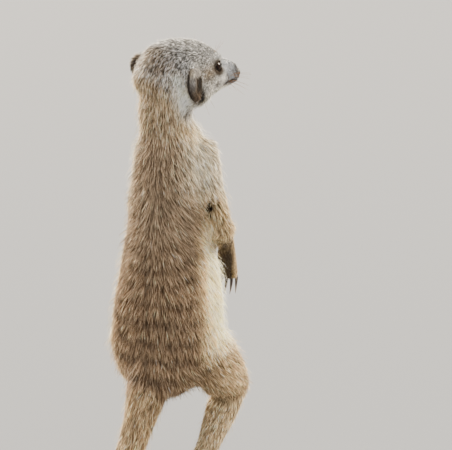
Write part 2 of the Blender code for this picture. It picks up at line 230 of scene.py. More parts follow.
def head_axes():
    """The head's origin and its left, forward and up directions."""
    left_eye, right_eye, nose = (centre(n) for n in ("eye_left", "eye_right", "nose"))
    left = unit(left_eye - right_eye)
    middle = (left_eye + right_eye) / 2
    to_nose = nose - middle
    to_nose = unit(to_nose - left * (to_nose @ left))
    up_of_nose = np.cross(to_nose, left)
    forward = math.cos(NOSE_BELOW_EYES) * to_nose + math.sin(NOSE_BELOW_EYES) * up_of_nose
    up = np.cross(forward, left)
    return middle - forward * EYE_FORWARD - up * EYE_UP, np.array([left, forward, up])


def in_head(points):
    return (points - head_centre) @ head_way.T


def from_head(points):
    return np.asarray(points, float) @ head_way + head_centre


def claw_nodes(paw, side):
    return [f"claw_{paw}_{side}_{i}" for i in (1, 2, 3, 4)]


def chain_bones(chain, end):
    """The bones of a chain's nodes after the first, each from where it meets the one before."""
    stops = [joint_between(b, a) for a, b in zip(chain, chain[1:])] + [end]
    return dict(zip(chain[1:], zip(stops, stops[1:])))


def find_bones():
    """Each node's bone, as its start and its end: the coat lies along it."""
    bones = {}
    for paw, side in PAWS:
        limb = ["trunk"] + [f"{part}_{side}" for part in LIMBS[paw]]
        bones |= chain_bones(limb, np.mean([centre(claw) for claw in claw_nodes(paw, side)], axis=0))
    tail_end = farthest(shapes["tail_tip"][0], joint_between("tail_tip", "tail_middle"))
    bones |= chain_bones(["trunk", "tail_root", "tail_middle", "tail_tip"], tail_end)
    shoulders = joint_between("neck", "trunk")
    bones["neck"] = (joint_between("neck", "head"), shoulders)
    bones["trunk"] = (shoulders, tail_base(shoulders))
    return bones


# The skin ----------------------------------------------------------------------------------------


def new_mesh(name, points, faces):
    mesh = bpy.data.meshes.new(name)
    mesh.from_pydata([tuple(p) for p in np.asarray(points) * MM], [], faces)
    mesh.update()
    return mesh


def new_object(name, data):
    thing = bpy.data.objects.new(name, data)
    bpy.context.scene.collection.objects.link(thing)
    return thing


def joined(parts):
    """The points and faces of several shapes as those of one."""
    points, faces, start = [], [], 0
    for p, f in parts:
        faces += [[start + i for i in face] for face in f]
        points.append(p)
        start += len(p)
    return np.vstack(points), faces


def read(collection, name, kind, width):
    """One attribute of everything in a collection, in rows of this width."""
    values = np.empty(len(collection) * width, kind)
    collection.foreach_get(name, values)
    return values.reshape(-1, width)


def points_of(mesh):
    return read(mesh.vertices, "co", np.float32, 3).astype(float) / MM


def put_points(mesh, points):
    mesh.vertices.foreach_set("co", (points * MM).astype(np.float32).ravel())
    mesh.update()


def normals_of(mesh):
    return read(mesh.vertex_normals, "vector", np.float32, 3).astype(float)


def swollen(points, faces):
    """A node's shape, grown a little."""
    mesh = new_mesh("part", points, faces)
    grown = points + normals_of(mesh) * SWELL
    bpy.data.meshes.remove(mesh)
    return grown, faces


def swollen_nodes():
    """All nodes of flesh in one mesh, each grown so that neighbours overlap."""
    return new_mesh("swollen", *joined([swollen(*shapes[node]) for node in flesh_nodes()]))


def remeshed(mesh):
    """The mesh's outer surface as an even grid of small faces."""
    thing = new_object("remesh", mesh)
    voxels = thing.modifiers.new("voxels", "REMESH")
    voxels.mode = "VOXEL"
    voxels.voxel_size = VOXEL * MM
    graph = bpy.context.evaluated_depsgraph_get()
    result = bpy.data.meshes.new_from_object(thing.evaluated_get(graph))
    bpy.data.objects.remove(thing)
    return result


def refine(mesh, spots):
    """Divides the faces near each spot, given as its place, reach and number of times."""
    bm = bmesh.new()
    bm.from_mesh(mesh)
    for place, reach, times in spots:
        for step in range(times):
            at, limit = Vector(place * MM), (reach - SPOT_STEP * step) * MM
            near = [e for e in bm.edges if all((v.co - at).length < limit for v in e.verts)]
            bmesh.ops.subdivide_edges(bm, edges=near, cuts=1, use_grid_fill=True)
    bmesh.ops.triangulate(bm, faces=[f for f in bm.faces if len(f.verts) > 4])
    bm.to_mesh(mesh)
    bm.free()
    mesh.update()


class Web:
    """Which points of a mesh are neighbours, for smoothing numbers over its surface."""

    def __init__(self, mesh):
        self.a, self.b = read(mesh.edges, "vertices", np.int32, 2).T
        self.size = len(mesh.vertices)
        both = np.concatenate([self.a, self.b])
        self.links = np.maximum(np.bincount(both, minlength=self.size), 1)

    def average(self, values):
        """Each point's mean over its neighbours."""
        columns = values.reshape(self.size, -1)
        out = np.empty_like(columns)
        for k in range(columns.shape[1]):
            column = columns[:, k]
            total = np.bincount(self.a, column[self.b], self.size)
            out[:, k] = total + np.bincount(self.b, column[self.a], self.size)
        return (out / self.links[:, None]).reshape(values.shape)

    def spread(self, values, times):
        for _ in range(times):
            values = (values + self.average(values)) / 2
        return values

    def relax(self, points, times):
        """Smooths a shape without shrinking it."""
        for _ in range(times):
            points = points + RELAX_IN * (self.average(points) - points)
            points = points - RELAX_OUT * (self.average(points) - points)
        return points


def nearest_nodes(points):
    """For each point, the index of the flesh node that it is nearest to."""
    parts = [shapes[name] for name in flesh_nodes()]
    owner = np.repeat(np.arange(len(parts)), [len(faces) for _, faces in parts])
    all_points, all_faces = joined(parts)
    tree = BVHTree.FromPolygons(all_points.tolist(), all_faces)
    return owner[[tree.find_nearest(Vector(p))[2] for p in points]]


# The face ----------------------------------------------------------------------------------------

EYE_RADIUS = 4.7
EYE_GAZE = (0.80, 0.58, 0.14)  # which way the left eye looks, in head coordinates
LID_THICKNESS = 0.55
LID_WIDTH, LID_HEIGHT = 0.84, 0.52  # the opening's half angles, in radians
LID_SLANT, LID_TAPER = 0.12, 0.35  # how the opening tilts and narrows towards its corners
LID_RIM = 0.12  # how much thicker a lid is at its edge
LID_REACH = 6.0  # how far past the eyeball the skin is moved
EYE_SINK = 1.1  # how much deeper the eyeball sits than its solid
DIGIT_LENGTH = 13.0  # from a claw's middle back to where its digit leaves the paw
MUZZLE_TRIM, CHIN_RISE = 1.3, 1.7
MOUTH_WIDTH, MOUTH_DEPTH = 0.55, 0.75
GROOVE_WIDTH, GROOVE_DEPTH, PIT_DEPTH = 0.65, 0.85, 4.0
ELBOW_TO_PIT = (5.2, 8.8, 10.4)  # for the right arm
PIT_RADII = (2.5, 3.0, 3.0)
SHOULDER_OFFSET, SHOULDER_RADII, SHOULDER_TRIM = (8.0, 4.0, 9.0), (9, 11, 13), 1.8  # of the left one
EAR_FACE = (0.85, 0.53)  # how far left and forward the left ear's face points
EAR_HALF_WIDTH, EAR_HALF_HEIGHT, EAR_DOME = 7.0, 10.6, 2.7
EAR_TUCK = (-2.4, 1.4, 0.0)  # for the left ear
# What is pushed on the left of the head: its place, radii, depth and direction, in head coordinates
HEAD_BOWLS = (
    ((10, -13.5, 11), (9, 9, 9), 2.4, (-0.5, 0.75, -0.4)),  # flattens the back of the head
    ((8.6, 36.5, 1.0), (3.5, 4.5, 3.5), -0.8, (1, 0.4, 0.3)),  # slims the muzzle
)


def eye_frame(side):
    """An eye's centre and its axes: outward along the gaze, towards the nose, and up."""
    mirror = MIRROR[side]
    gaze = unit(np.array(EYE_GAZE) * (mirror, 1, 1)) @ head_way
    ahead = unit(head_way[1] - gaze * (head_way[1] @ gaze))
    up = np.cross(gaze, ahead) * mirror
    up = up * np.sign(up @ head_way[2])
    return centre("eye_" + side) - gaze * EYE_SINK, np.array([gaze, ahead, up])


def lid_opening(ahead, up):
    """Below 1 inside the almond between the lids, for angles from the gaze."""
    share = ahead / LID_WIDTH
    height = LID_HEIGHT * (1 - LID_TAPER * share**2)
    return np.sqrt(share**2 + ((up - LID_SLANT * ahead) / height) ** 2)


def gaze_angles(points, side):
    """Offsets from an eye's middle, how far and how squarely in front, and the angles along it and up."""
    middle, axes = eye_frame(side)
    away = points - middle
    distance = np.maximum(np.linalg.norm(away, axis=1), 1e-6)
    facing, along, up = ((away / distance[:, None]) @ axes.T).T
    angle = np.arccos(np.clip(facing, -1, 1))
    around = np.maximum(np.hypot(along, up), 1e-6)
    return away, distance, facing, angle * along / around, angle * up / around


def carve_eye(points, side):
    """Wraps lids round the eyeball and sinks the skin behind it inside their opening."""
    away, distance, facing, ahead, up = gaze_angles(points, side)
    near = (distance < EYE_RADIUS + LID_REACH) & (facing > 0.05)
    past_corner = np.maximum(np.abs(ahead) - LID_WIDTH, 0)
    opening = lid_opening(np.clip(ahead, -LID_WIDTH, LID_WIDTH), up) + past_corner
    lid = EYE_RADIUS + LID_THICKNESS + LID_RIM * peak((opening - 1.18) / 0.12)
    kept = np.maximum(distance, lid - 1.5 * smoothstep(1.5, 2.3, opening))
    outside = mixed(lid, kept, smoothstep(1.2, 1.9, opening))
    target = mixed(outside, EYE_RADIUS - 0.9, 1 - smoothstep(0.96, 1.10, opening))
    share = near * (1 - smoothstep(EYE_RADIUS + 3.5, EYE_RADIUS + LID_REACH, distance))
    moved = eye_frame(side)[0] + (target / distance)[:, None] * away
    return points + share[:, None] * (moved - points)


def bowl(points, side, place, radii, depth, way):
    """Pushes one side of the head along a direction, most at a place."""
    flip = (MIRROR[side], 1, 1)
    share = peak_at(in_head(points), np.multiply(place, flip), radii)
    return points + (share * depth)[:, None] * (unit(np.multiply(way, flip)) @ head_way)


def slim_shoulder(points):
    """Draws the left shoulder in, as it is when that arm is held across the chest."""
    share = peak_at(points - bones["upper_arm_left"][0], SHOULDER_OFFSET, SHOULDER_RADII)
    return points - (share * SHOULDER_TRIM)[:, None] * LEFT


def mouth_height(forward):
    """How high the line of the mouth is, along the muzzle."""
    return -8.0 + 0.10 * (forward - 38) + 0.8 * np.cos((forward - 38) / 5.0)


def tuck_ears(points):
    """Sweeps the lower part of each ear forward and in towards the head."""
    q = in_head(points)
    on_ear = smoothstep(21, 25, np.abs(q[:, 0])) * smoothstep(14, 9, np.abs(q[:, 1]))
    share = on_ear * band(-18, -14, -7, 3, q[:, 2])
    flip = np.ones_like(q)
    flip[:, 0] = np.sign(q[:, 0])
    return points + share[:, None] * ((EAR_TUCK * flip) @ head_way)


def trim_muzzle(points):
    """Draws the muzzle's end back and the chin up."""
    q = in_head(points)
    back = MUZZLE_TRIM * smoothstep(36, 50, q[:, 1])
    rise = CHIN_RISE * smoothstep(-4, -11, q[:, 2]) * smoothstep(26, 38, q[:, 1])
    return points - back[:, None] * head_way[1] + rise[:, None] * head_way[2]


def carve_mouth(points, normals):
    """A groove from the chin's front back to the corner of the mouth."""
    q = in_head(points)
    groove = peak((q[:, 2] - mouth_height(q[:, 1])) / MOUTH_WIDTH) * smoothstep(31, 34, q[:, 1])
    return points - normals * (groove * MOUTH_DEPTH)[:, None]


def nose_centre():
    return centre("nose") - head_way[1] * MUZZLE_TRIM


def seat_nose(points):
    """Sinks the skin inside the nose, so that only the nose's own leather shows."""
    low, high = box_mm("nose")
    middle, radius = nose_centre(), (high - low).min() / 2
    away = points - middle
    distance = np.linalg.norm(away, axis=1)
    limit = radius - 0.9
    share = (distance < radius + 0.6) * (away @ head_way[1] > -1.0)
    inner = middle + away * (np.minimum(distance, limit) / np.maximum(distance, 1e-6))[:, None]
    return points + share[:, None] * (inner - points)


def digit_grooves(points):
    """1 along the grooves between the digits of each paw, falling to 0 beside them."""
    total = np.zeros(len(points))
    for paw, side in PAWS:
        claws = [centre(claw) for claw in claw_nodes(paw, side)]
        middle, across = np.mean(claws, axis=0), unit(claws[3] - claws[0])
        spacing = np.linalg.norm(claws[3] - claws[0]) / 3
        root, tip = bones[f"{paw}_{side}"]
        away = points - middle
        place = away @ across / spacing
        off = (place - np.clip(np.round(place), -1, 1)) * spacing
        along = smoothstep(-DIGIT_LENGTH, -DIGIT_LENGTH + 5, away @ unit(tip - root))
        total += peak(off / GROOVE_WIDTH) * along * (how_far(points, middle) < 2 * DIGIT_LENGTH)
    return total


def elbow_pit(side):
    """The small hollow where the elbow rests against the flank."""
    return bones["forearm_" + side][0] + np.array(ELBOW_TO_PIT) * (-MIRROR[side], 1, 1)


def in_pit(points):
    """1 in the hollow behind each elbow, falling to 0 round it."""
    return sum(peak_at(points, elbow_pit(side), PIT_RADII) for side in SIDES)


def fill_ear(points, side):
    """Domes the rear of the ear's hollow, so that a furred flap faces out and the opening lies in front."""
    out, along, up = ear_frame(points, side)
    inside = 1 - (along / EAR_HALF_WIDTH) ** 2 - (up / EAR_HALF_HEIGHT) ** 2
    dome = EAR_DOME * np.sqrt(np.clip(inside, 0, 1))
    share = smoothstep(3.2, 0.8, along) * (out > -0.6) * (out < dome) * (inside > 0.02)
    way = np.array([EAR_FACE[0] * MIRROR[side], EAR_FACE[1], 0.0]) @ head_way
    return points + (share * (dome - out))[:, None] * way


def sculpt(mesh):
    """The folds that the solids leave out."""
    points, normals = points_of(mesh), normals_of(mesh)
    sunk = GROOVE_DEPTH * digit_grooves(points) + PIT_DEPTH * in_pit(points)
    points = points - normals * sunk[:, None]
    points = carve_mouth(trim_muzzle(slim_shoulder(points)), normals)
    for side in SIDES:
        points = fill_ear(points, side)
        for shape in HEAD_BOWLS:
            points = bowl(points, side, *shape)
        points = carve_eye(points, side)
    put_points(mesh, seat_nose(tuck_ears(points)))


# The coat's fields: numbers for every point of the skin -------------------------------------------

FACE_DEPTH, FACE_LENGTH, FACE_WIDTH, FACE_DENSITY = 0.35, 1.3, 0.24, 7.0
BELLY_LENGTH = 6.5
LEAST_HEIGHT = 0.4  # how high the tufts' tips stand where the coat is thinnest
# The opening in front of each ear, by height: how far forward it is, and its half width
OPENING_HEIGHTS = (-11, -8, -3, 2, 7)
OPENING_FORWARD = (10.6, 10.4, 8.4, 7.4, 6.6)
OPENING_WIDTHS = (2.2, 2.4, 1.9, 1.7, 1.3)


def region_weights(web, owners):
    """For each point, its share of every region, blended where regions meet."""
    regions = [k for k, (nodes, *_) in enumerate(REGIONS.values()) for _ in nodes]
    return web.spread(np.eye(len(REGIONS))[np.array(regions)[owners]], REGION_PASSES)


def blend(weights, column):
    return weights @ np.array([row[column] for row in REGIONS.values()])


def share_of(weights, *regions):
    return sum(weights[:, REGION_NAMES.index(r)] for r in regions)


def depth_of_coat(points, weights):
    """How far the skin lies inside the solids, for each point."""
    depth = blend(weights, DEPTH)
    on_face = smoothstep(4, 36, in_head(points)[:, 1]) * share_of(weights, "head")
    return mixed(depth, FACE_DEPTH, on_face) * smoothstep(0.3, 6.0, points[:, 2])


def round_body(points):
    """The angle round the standing body: 0 at the spine, positive on the left, and the distance out."""
    axis = body_axis()
    across, back = points[:, 0] - axis[0], points[:, 1] - axis[1]
    return np.arctan2(across, back), np.hypot(across, back)


NOSE_TIP = (0, 53, -4)  # in head coordinates
FOREARM_HANG = 1.5  # how strongly a forearm's coat hangs straight down
# How far the coat slants from the spine to the sides, by height.
SLANT_HEIGHTS = (60, 120, 145, 165, 190, 205, 225, 250)
SLANTS = (0.15, 0.25, 0.5, 0.8, 0.7, 0.35, 0.2, 0.1)


def body_lie(points):
    """Down the body, parted at the spine."""
    angle, _ = round_body(points)
    slant = np.interp(points[:, 2], SLANT_HEIGHTS, SLANTS)
    slant = slant * np.tanh(angle / 0.28) * np.cos(angle / 2)
    across = np.stack([np.cos(angle), -np.sin(angle), 0 * angle], axis=1)
    return across * slant[:, None] - UP


def head_lie(points):
    """Back from the nose, then down the back of the head."""
    q = in_head(points)
    away = unit(q - NOSE_TIP)
    away[:, 2] -= 0.5 * smoothstep(6, 20, np.abs(q[:, 0]))
    behind = smoothstep(10, -14, q[:, 1])[:, None]
    return (away * (1 - behind) + np.array([0, -0.25, -1.0]) * behind) @ head_way


def ear_lie(points, side):
    """Out to the ear's rim at the back, and down the face that it turns outward."""
    to_edge = unit(from_ear(points, side))
    outer_face = smoothstep(-0.5, 1.5, ear_frame(points, side)[0])
    to_rim = to_edge * 0.8 + (0.5, -0.4, -0.5)
    lie = mixed(to_rim, np.array([0.0, 0.25, -1.0]) + 0.4 * to_edge, outer_face)
    return (lie * (MIRROR[side], 1, 1)) @ head_way


def lie_of_coat(web, points, normals, owners):
    """Which way the coat lies at each point, along the skin."""
    lie = np.zeros_like(points)
    for i, node in enumerate(flesh_nodes()):
        mine = owners == i
        if node in ("head", "nose") or node.startswith("eye"):
            lie[mine] = head_lie(points[mine])
        elif node.startswith("ear"):
            lie[mine] = ear_lie(points[mine], node[4:])
        elif node in ("trunk", "neck"):
            lie[mine] = body_lie(points[mine])
        else:
            start, end = bones[node]
            lie[mine] = unit(end - start) - UP * (FOREARM_HANG if node.startswith("forearm") else 0)
    for _ in range(LIE_PASSES):
        lie = web.spread(square_to(lie, normals), 1)
    return square_to(lie, normals)


def on_lids(points):
    """True on the eyeballs' sunken skin and the bare rims of the lids."""
    found = np.zeros(len(points), bool)
    for side in SIDES:
        _, distance, facing, ahead, up = gaze_angles(points, side)
        found |= (distance < EYE_RADIUS + 2.0) & (lid_opening(ahead, up) < 1.3) & (facing > 0)
    return found


def bare_places(points, normals):
    """0 where nothing grows: the lids' rims, the nose's leather and the soles."""
    off_nose = smoothstep(3.9, 4.6, how_far(points, nose_centre()))
    on_sole = (normals[:, 2] < -0.3) & (points[:, 2] < 2.5)
    return off_nose * ~on_lids(points) * ~on_sole


def coat_shape(points, normals, weights, depth):
    """Length, width, height and density of the tufts at every point."""
    q = in_head(points)
    length, width, density = (blend(weights, c) for c in (LENGTH, WIDTH, DENSITY))
    head = share_of(weights, "head")
    on_face = head * smoothstep(6, 40, q[:, 1])
    length = mixed(length, FACE_LENGTH, on_face)
    width = mixed(width, FACE_WIDTH, on_face)
    density = mixed(density, FACE_DENSITY, on_face)
    for side in SIDES:
        from_eye = how_far(points, centre("eye_" + side))
        length *= mixed(0.45, 1.0, smoothstep(6.0, 14.0, from_eye))
    angle = np.abs(round_body(points)[0])
    length = mixed(length, BELLY_LENGTH, share_of(weights, "trunk") * smoothstep(1.9, 2.8, angle))
    jaw = head * smoothstep(-9, -13, q[:, 2]) * band(0, 10, 26, 34, q[:, 1])
    ruff = share_of(weights, "neck", "trunk") * smoothstep(1.7, 2.3, angle)
    ruff = ruff * band(196, 212, 230, 242, points[:, 2])
    above_pit = sum(peak_at(points - elbow_pit(side), UP * 4, (4, 5, 5)) for side in SIDES)
    cuff = wrists_and_low_forearms(points, weights)
    behind_ear = head * smoothstep(15, 18, np.abs(q[:, 0])) * peak((q[:, 1] + 8) / 7, (q[:, 2] - 3) / 9)
    length = length * (1 + 0.35 * jaw + 0.4 * ruff) * (1 - 0.65 * above_pit) * (1 - 0.6 * cuff)
    length = length * (1 - 0.3 * behind_ear) * (1 + 1.2 * ear_rim(q, weights)) * (1 - 0.5 * near_slit(q))
    height = np.maximum(depth, LEAST_HEIGHT) * (1 - 0.7 * cuff) + 0.9 * jaw + 2.1 * ruff
    density = density * bare_places(points, normals) * (1 - ear_hollow(points))
    return {
        "length": length,
        "width": width,
        "height": height * (1 - 0.6 * behind_ear),
        "density": density * (1 - smoothstep(0.08, 0.3, in_pit(points))),
    }


def coat_pattern(points, weights):
    """At every point: the share of dark tufts, how much tufts differ, and how pale and grey tips are."""
    q = in_head(points)
    head, ear, trunk = (share_of(weights, r) for r in ("head", "ear", "trunk"))
    crown = head * smoothstep(-6, 4, q[:, 2])
    muzzle = head * smoothstep(30, 38, q[:, 1])
    cheek = head * smoothstep(2, -5, q[:, 2]) * smoothstep(4, 10, q[:, 1]) * (1 - muzzle)
    pepper = 0.1 + 0.38 * crown + 0.12 * share_of(weights, "head", "neck") + 0.04 * trunk
    pepper = pepper + 0.15 * cheek - 0.3 * muzzle - 0.2 * behind_ears(q)
    contrast = 0.56 + 0.5 * crown - 0.1 * muzzle - 0.2 * behind_ears(q)
    # Dark markings keep their tufts dark and even, and so does the painted shade in the pits behind the
    # elbows.
    dark = np.clip(eye_patch(q) + in_pit(points) + 0.8 * share_of(weights, "hand", "tail_tip"), 0, 1)
    return {
        "pepper": pepper * (1 - dark),
        "contrast": contrast * (1 - 0.6 * dark),
        "bleach": (1 - 0.9 * dark) * (1 - 0.8 * ear) + 1.6 * ear_rim(q, weights),
        "grey": head,
    }


def behind_ears(q):
    """1 in the pale band behind each ear, which slants forward as it goes down."""
    across, ahead, up = np.abs(q[:, 0]), q[:, 1], q[:, 2]
    from_middle = ahead + 2.5 + 0.45 * (up + 3)
    return peak(from_middle / 6) * smoothstep(11, 17, across) * band(-24, -17, 4, 12, up)


def eye_patch(q):
    """1 in the dark patches round the eyes, for places in head coordinates."""
    across, ahead, up = np.abs(q[:, 0]) - 12.5, q[:, 1] - 26, q[:, 2] - 4.2
    away = np.sqrt((across / 8.0) ** 2 + ((ahead + 0.3 * up) / 9.5) ** 2 + (up / 6.2) ** 2)
    return smoothstep(1.15, 0.7, away)


def from_ear(points, side):
    """Places from an ear's middle in head coordinates, with the right ear's mirrored."""
    return (in_head(points) - in_head(centre("ear_" + side))) * (MIRROR[side], 1, 1)


def ear_frame(points, side):
    """Places from an ear's middle: how far out of its face, forward along it, and up."""
    left, forward, up = from_ear(points, side).T
    face_left, face_forward = EAR_FACE
    return left * face_left + forward * face_forward, forward * face_left - left * face_forward, up


def ear_hollow(points):
    """1 in the hollow that is left open in front of each ear's flap."""
    found = np.zeros(len(points), bool)
    for side in SIDES:
        out, along, up = ear_frame(points, side)
        inside = (along / 6.6) ** 2 + (up / 10.2) ** 2 < 1
        found |= inside & (along > 2.4) & (out > -4) & (out < 0.8)
    return found.astype(float)


def ear_rim(q, weights):
    """1 along the upper rear edge of each ear."""
    return share_of(weights, "ear") * smoothstep(5.5, 9.0, ear_distance(q)) * smoothstep(1, -3, q[:, 1])


def near_slit(q):
    """1 just in front of each ear's opening, where the hair is short."""
    across, ahead, up = np.abs(q[:, 0]), q[:, 1], q[:, 2]
    past = ahead - np.interp(up, OPENING_HEIGHTS, OPENING_FORWARD)
    return band(-2, 0, 4, 6.5, past) * smoothstep(16, 19, across) * band(-14, -12, 7, 9, up)


def ear_distance(q):
    """How far a place in head coordinates is from the nearer ear's middle, as seen from its side."""
    left, right = in_head(centre("ear_left")), in_head(centre("ear_right"))
    middle = np.where(q[:, :1] > 0, left, right)
    return np.hypot(q[:, 1] - middle[:, 1], 0.75 * (q[:, 2] - middle[:, 2]))


# Colours -----------------------------------------------------------------------------------------

BRIGHTNESS = 1.45  # of all the markings, which the tufts' dark roots darken
BAND_SPACING = 11.5  # between the dark bands on the back
WRIST_REACH, WRIST_SHADE_REACH = 22, 32  # how far from a wrist its own hand and its painted shade may lie


def markings(points, weights):
    """The coat's colour at each point, as linear light."""
    colour = weights @ np.array([srgb(*row[GROUND]) for row in REGIONS.values()])
    colour = mark_body(colour, points, weights)
    colour = mark_head(colour, points, weights)
    colour = mark_limbs(colour, points, weights)
    shade = 1 + 0.07 * lumps(points, 9.0, 3)
    return np.clip(colour * shade[:, None] * BRIGHTNESS, 0, 1)


def mark_body(colour, points, weights):
    """A brown back with faint bands, paler flanks and shoulders, a pale belly and throat, and a cream strip
    on the lower sides that is partly pale fur and partly painted rim light.
    """
    angle = np.abs(round_body(points)[0])
    z = points[:, 2]
    trunk, neck, arm, thigh = (share_of(weights, r) for r in ("trunk", "neck", "upper_arm", "thigh"))
    low_back = (trunk + 0.6 * thigh) * smoothstep(190, 120, z) * smoothstep(1.7, 1.0, angle)
    wave = np.sin((z + 2.5 * np.cos(2 * angle) + 2 * lumps(points, 22, 11)) * 2 * math.pi / BAND_SPACING)
    flank = (trunk + thigh * 0.5) * smoothstep(0.8, 1.6, angle)
    side = trunk * smoothstep(0.85, 1.38, angle - 0.8 * smoothstep(166, 180, z))
    belly = (trunk + thigh * smoothstep(84, 106, z)) * smoothstep(1.5, 2.2, angle)
    shoulder = (trunk + arm) * smoothstep(180, 206, z) * smoothstep(0.35, 1.25, angle)
    throat = (neck + trunk * smoothstep(150, 200, z)) * smoothstep(1.8, 2.4, angle)
    return painted(
        colour,
        ((110, 85, 60), low_back * 0.85),
        ((60, 40, 24), low_back * smoothstep(0.1, 0.8, wave) * 0.75),
        ((156, 132, 98), flank * 0.85),
        # Partly the belly's cream fur, partly painted rim light along the lower sides.
        ((232, 203, 156), side),
        ((230, 213, 180), belly),
        ((170, 160, 141), shoulder * 0.9),
        ((182, 162, 128), neck * smoothstep(0.5, 1.4, angle) * 0.9),
        ((220, 211, 194), throat),
    )


def mark_head(colour, points, weights):
    """Grizzled crown, pale cheeks and chin, dark patches round the eyes and a blue-grey muzzle."""
    q = in_head(points)
    across, ahead, up = np.abs(q[:, 0]), q[:, 1], q[:, 2]
    head = share_of(weights, "head")
    cheek = head * smoothstep(2, -5, up) * smoothstep(-4, 4, ahead)
    speckles = cheek * smoothstep(0.1, 0.5, lumps(q, 2.6, 21)) * smoothstep(-12, -6, up)
    temple = head * peak((ahead - 17) / 7, (up - 3.5) / 4.5) * smoothstep(9, 13, across)
    colour = painted(
        colour,
        ((162, 144, 124), head * smoothstep(2, -12, ahead)),
        ((198, 195, 190), cheek),
        ((88, 84, 80), speckles * smoothstep(34, 26, ahead) * 0.8),
        ((240, 231, 214), behind_ears(q) * share_of(weights, "head", "neck")),
        ((154, 134, 109), temple * 0.85),
    )
    muzzle = mixed(srgb(108, 112, 119), srgb(156, 159, 164), smoothstep(-2, 5, up))
    colour = mixed(colour, muzzle, head * smoothstep(32, 39, ahead))
    tip = head * smoothstep(44.5, 49, ahead) * smoothstep(-8, -5, up)
    on_muzzle = head * smoothstep(33, 37, ahead)
    lips = peak((up - mouth_height(ahead)) / 0.9)
    spots = smoothstep(0.15, 0.5, lumps(q, 2.0, 31)) * smoothstep(0, -3, up) * smoothstep(-11, -9, up)
    chin = head * smoothstep(-7.5, -10.5, up) * band(6, 14, 40, 46, ahead)
    colour = painted(
        colour,
        ((66, 65, 66), tip * 0.85),
        ((44, 42, 42), on_muzzle * lips * 0.9),
        ((66, 61, 60), on_muzzle * spots * 0.85),
        ((226, 219, 205), chin * 0.9),
        ((44, 36, 29), head * eye_patch(q) * 0.97),
        ((20, 17, 14), on_lids(points)),
    )
    return mark_ears(colour, q, points, weights)


def ear_flap(ahead, up):
    """The colour of an ear's outer face: grey above and brown below, and darkest at its front."""
    front = ahead + 0.2 * up
    return painted(
        mixed(srgb(80, 68, 56), srgb(120, 118, 116), smoothstep(-7, 5, up)),
        ((64, 52, 42), smoothstep(-3.0, 1.5, front)),
        ((24, 19, 16), smoothstep(0.5, 2.5, front) * smoothstep(-6, -2, up)),
        ((138, 134, 129), smoothstep(5.0, 7.5, up)),
    )


def mark_ears(colour, q, points, weights):
    """Dark ears with a paler outer face and fringe, painted shade in the gap in front of each ear and in
    its hollow, and a spot of painted shade at the throat.
    """
    across, ahead, up = np.abs(q[:, 0]), q[:, 1], q[:, 2]
    ear = smoothstep(0.3, 0.6, share_of(weights, "ear"))
    colour = mixed(colour, srgb(*REGIONS["ear"][GROUND]), ear)
    out = np.where(q[:, 0] > 0, ear_frame(points, "left")[0], ear_frame(points, "right")[0])
    colour = mixed(colour, ear_flap(ahead, up), ear * smoothstep(-1.4, -0.2, out))
    fringe = ear * smoothstep(7.0, 8.6, ear_distance(q)) * smoothstep(1, -3, ahead)
    slit = np.interp(up, OPENING_HEIGHTS, OPENING_FORWARD)
    width = np.interp(up, OPENING_HEIGHTS, OPENING_WIDTHS)
    opening = np.exp(-(((ahead - slit) / width) ** 4)) * band(-13.5, -12, 6.5, 8.5, up)
    near_ear = smoothstep(18, 20, across) * (share_of(weights, "head", "ear") > 0.5)
    tuft = peak((ahead - 8) / 3.5, (up - 9.5) / 2.2) * smoothstep(15, 18, across)
    throat_shade = peak_at(np.abs(q), (11.5, 6.5, 18.8), (3.0, 2.0, 2.0)) * (up < 0)
    return painted(
        colour,
        ((196, 178, 150), fringe * 0.85),
        # Painted shade: the gap in front of each ear's flap is painted dark.
        ((30, 24, 20), opening * near_ear),
        # The hollow in front of the flap: partly the ear's own dark skin, partly painted shade.
        ((22, 17, 14), ear_hollow(points)),
        ((222, 219, 212), tuft * share_of(weights, "head") * 0.9),
        # Painted shade: a dark spot under the back of the jaw at the throat.
        ((70, 57, 45), throat_shade * 0.9),
    )


def wrists_and_low_forearms(points, weights):
    """1 at the wrists and wherever a forearm hangs low, falling to 0 towards the elbows."""
    share = np.zeros(len(points))
    for side in SIDES:
        elbow, wrist = bones["forearm_" + side]
        near = how_far(points, wrist) < WRIST_REACH
        share = np.maximum(share, smoothstep(0.25, 0.95, share_along(points, elbow, wrist)) * near)
    low = smoothstep(168, 152, points[:, 2])
    return np.maximum(share, low) * share_of(weights, "forearm")


def mark_hand(colour, points, weights, side):
    """A palm dark with its own bare skin and painted shade, painted shade on the wrist and under a
    low-hanging forearm, and a tan back of the hand.
    """
    wrist, fingers = bones["hand_" + side]
    way = 0.75 * FORWARD + 0.66 * MIRROR[side] * LEFT
    edge = (points - wrist) @ way - 0.1 * (wrist[2] - points[:, 2])
    back_of_hand = smoothstep(0.0, 3.0, edge)
    on_hand = how_far(points, (wrist + fingers) / 2) < WRIST_REACH
    mine = share_of(weights, "hand") * on_hand
    near_wrist = how_far(points, wrist) < WRIST_SHADE_REACH
    return painted(
        colour,
        # The palm's own dark skin, deepened with painted shade.
        ((62, 53, 43), mine * (1 - back_of_hand) * 0.9),
        # Painted shade: the wrist and the underside of a low-hanging forearm are painted dark.
        ((72, 59, 46), wrists_and_low_forearms(points, weights) * (1 - back_of_hand) * near_wrist),
        ((176, 154, 120), mine * back_of_hand * 0.8),
    )


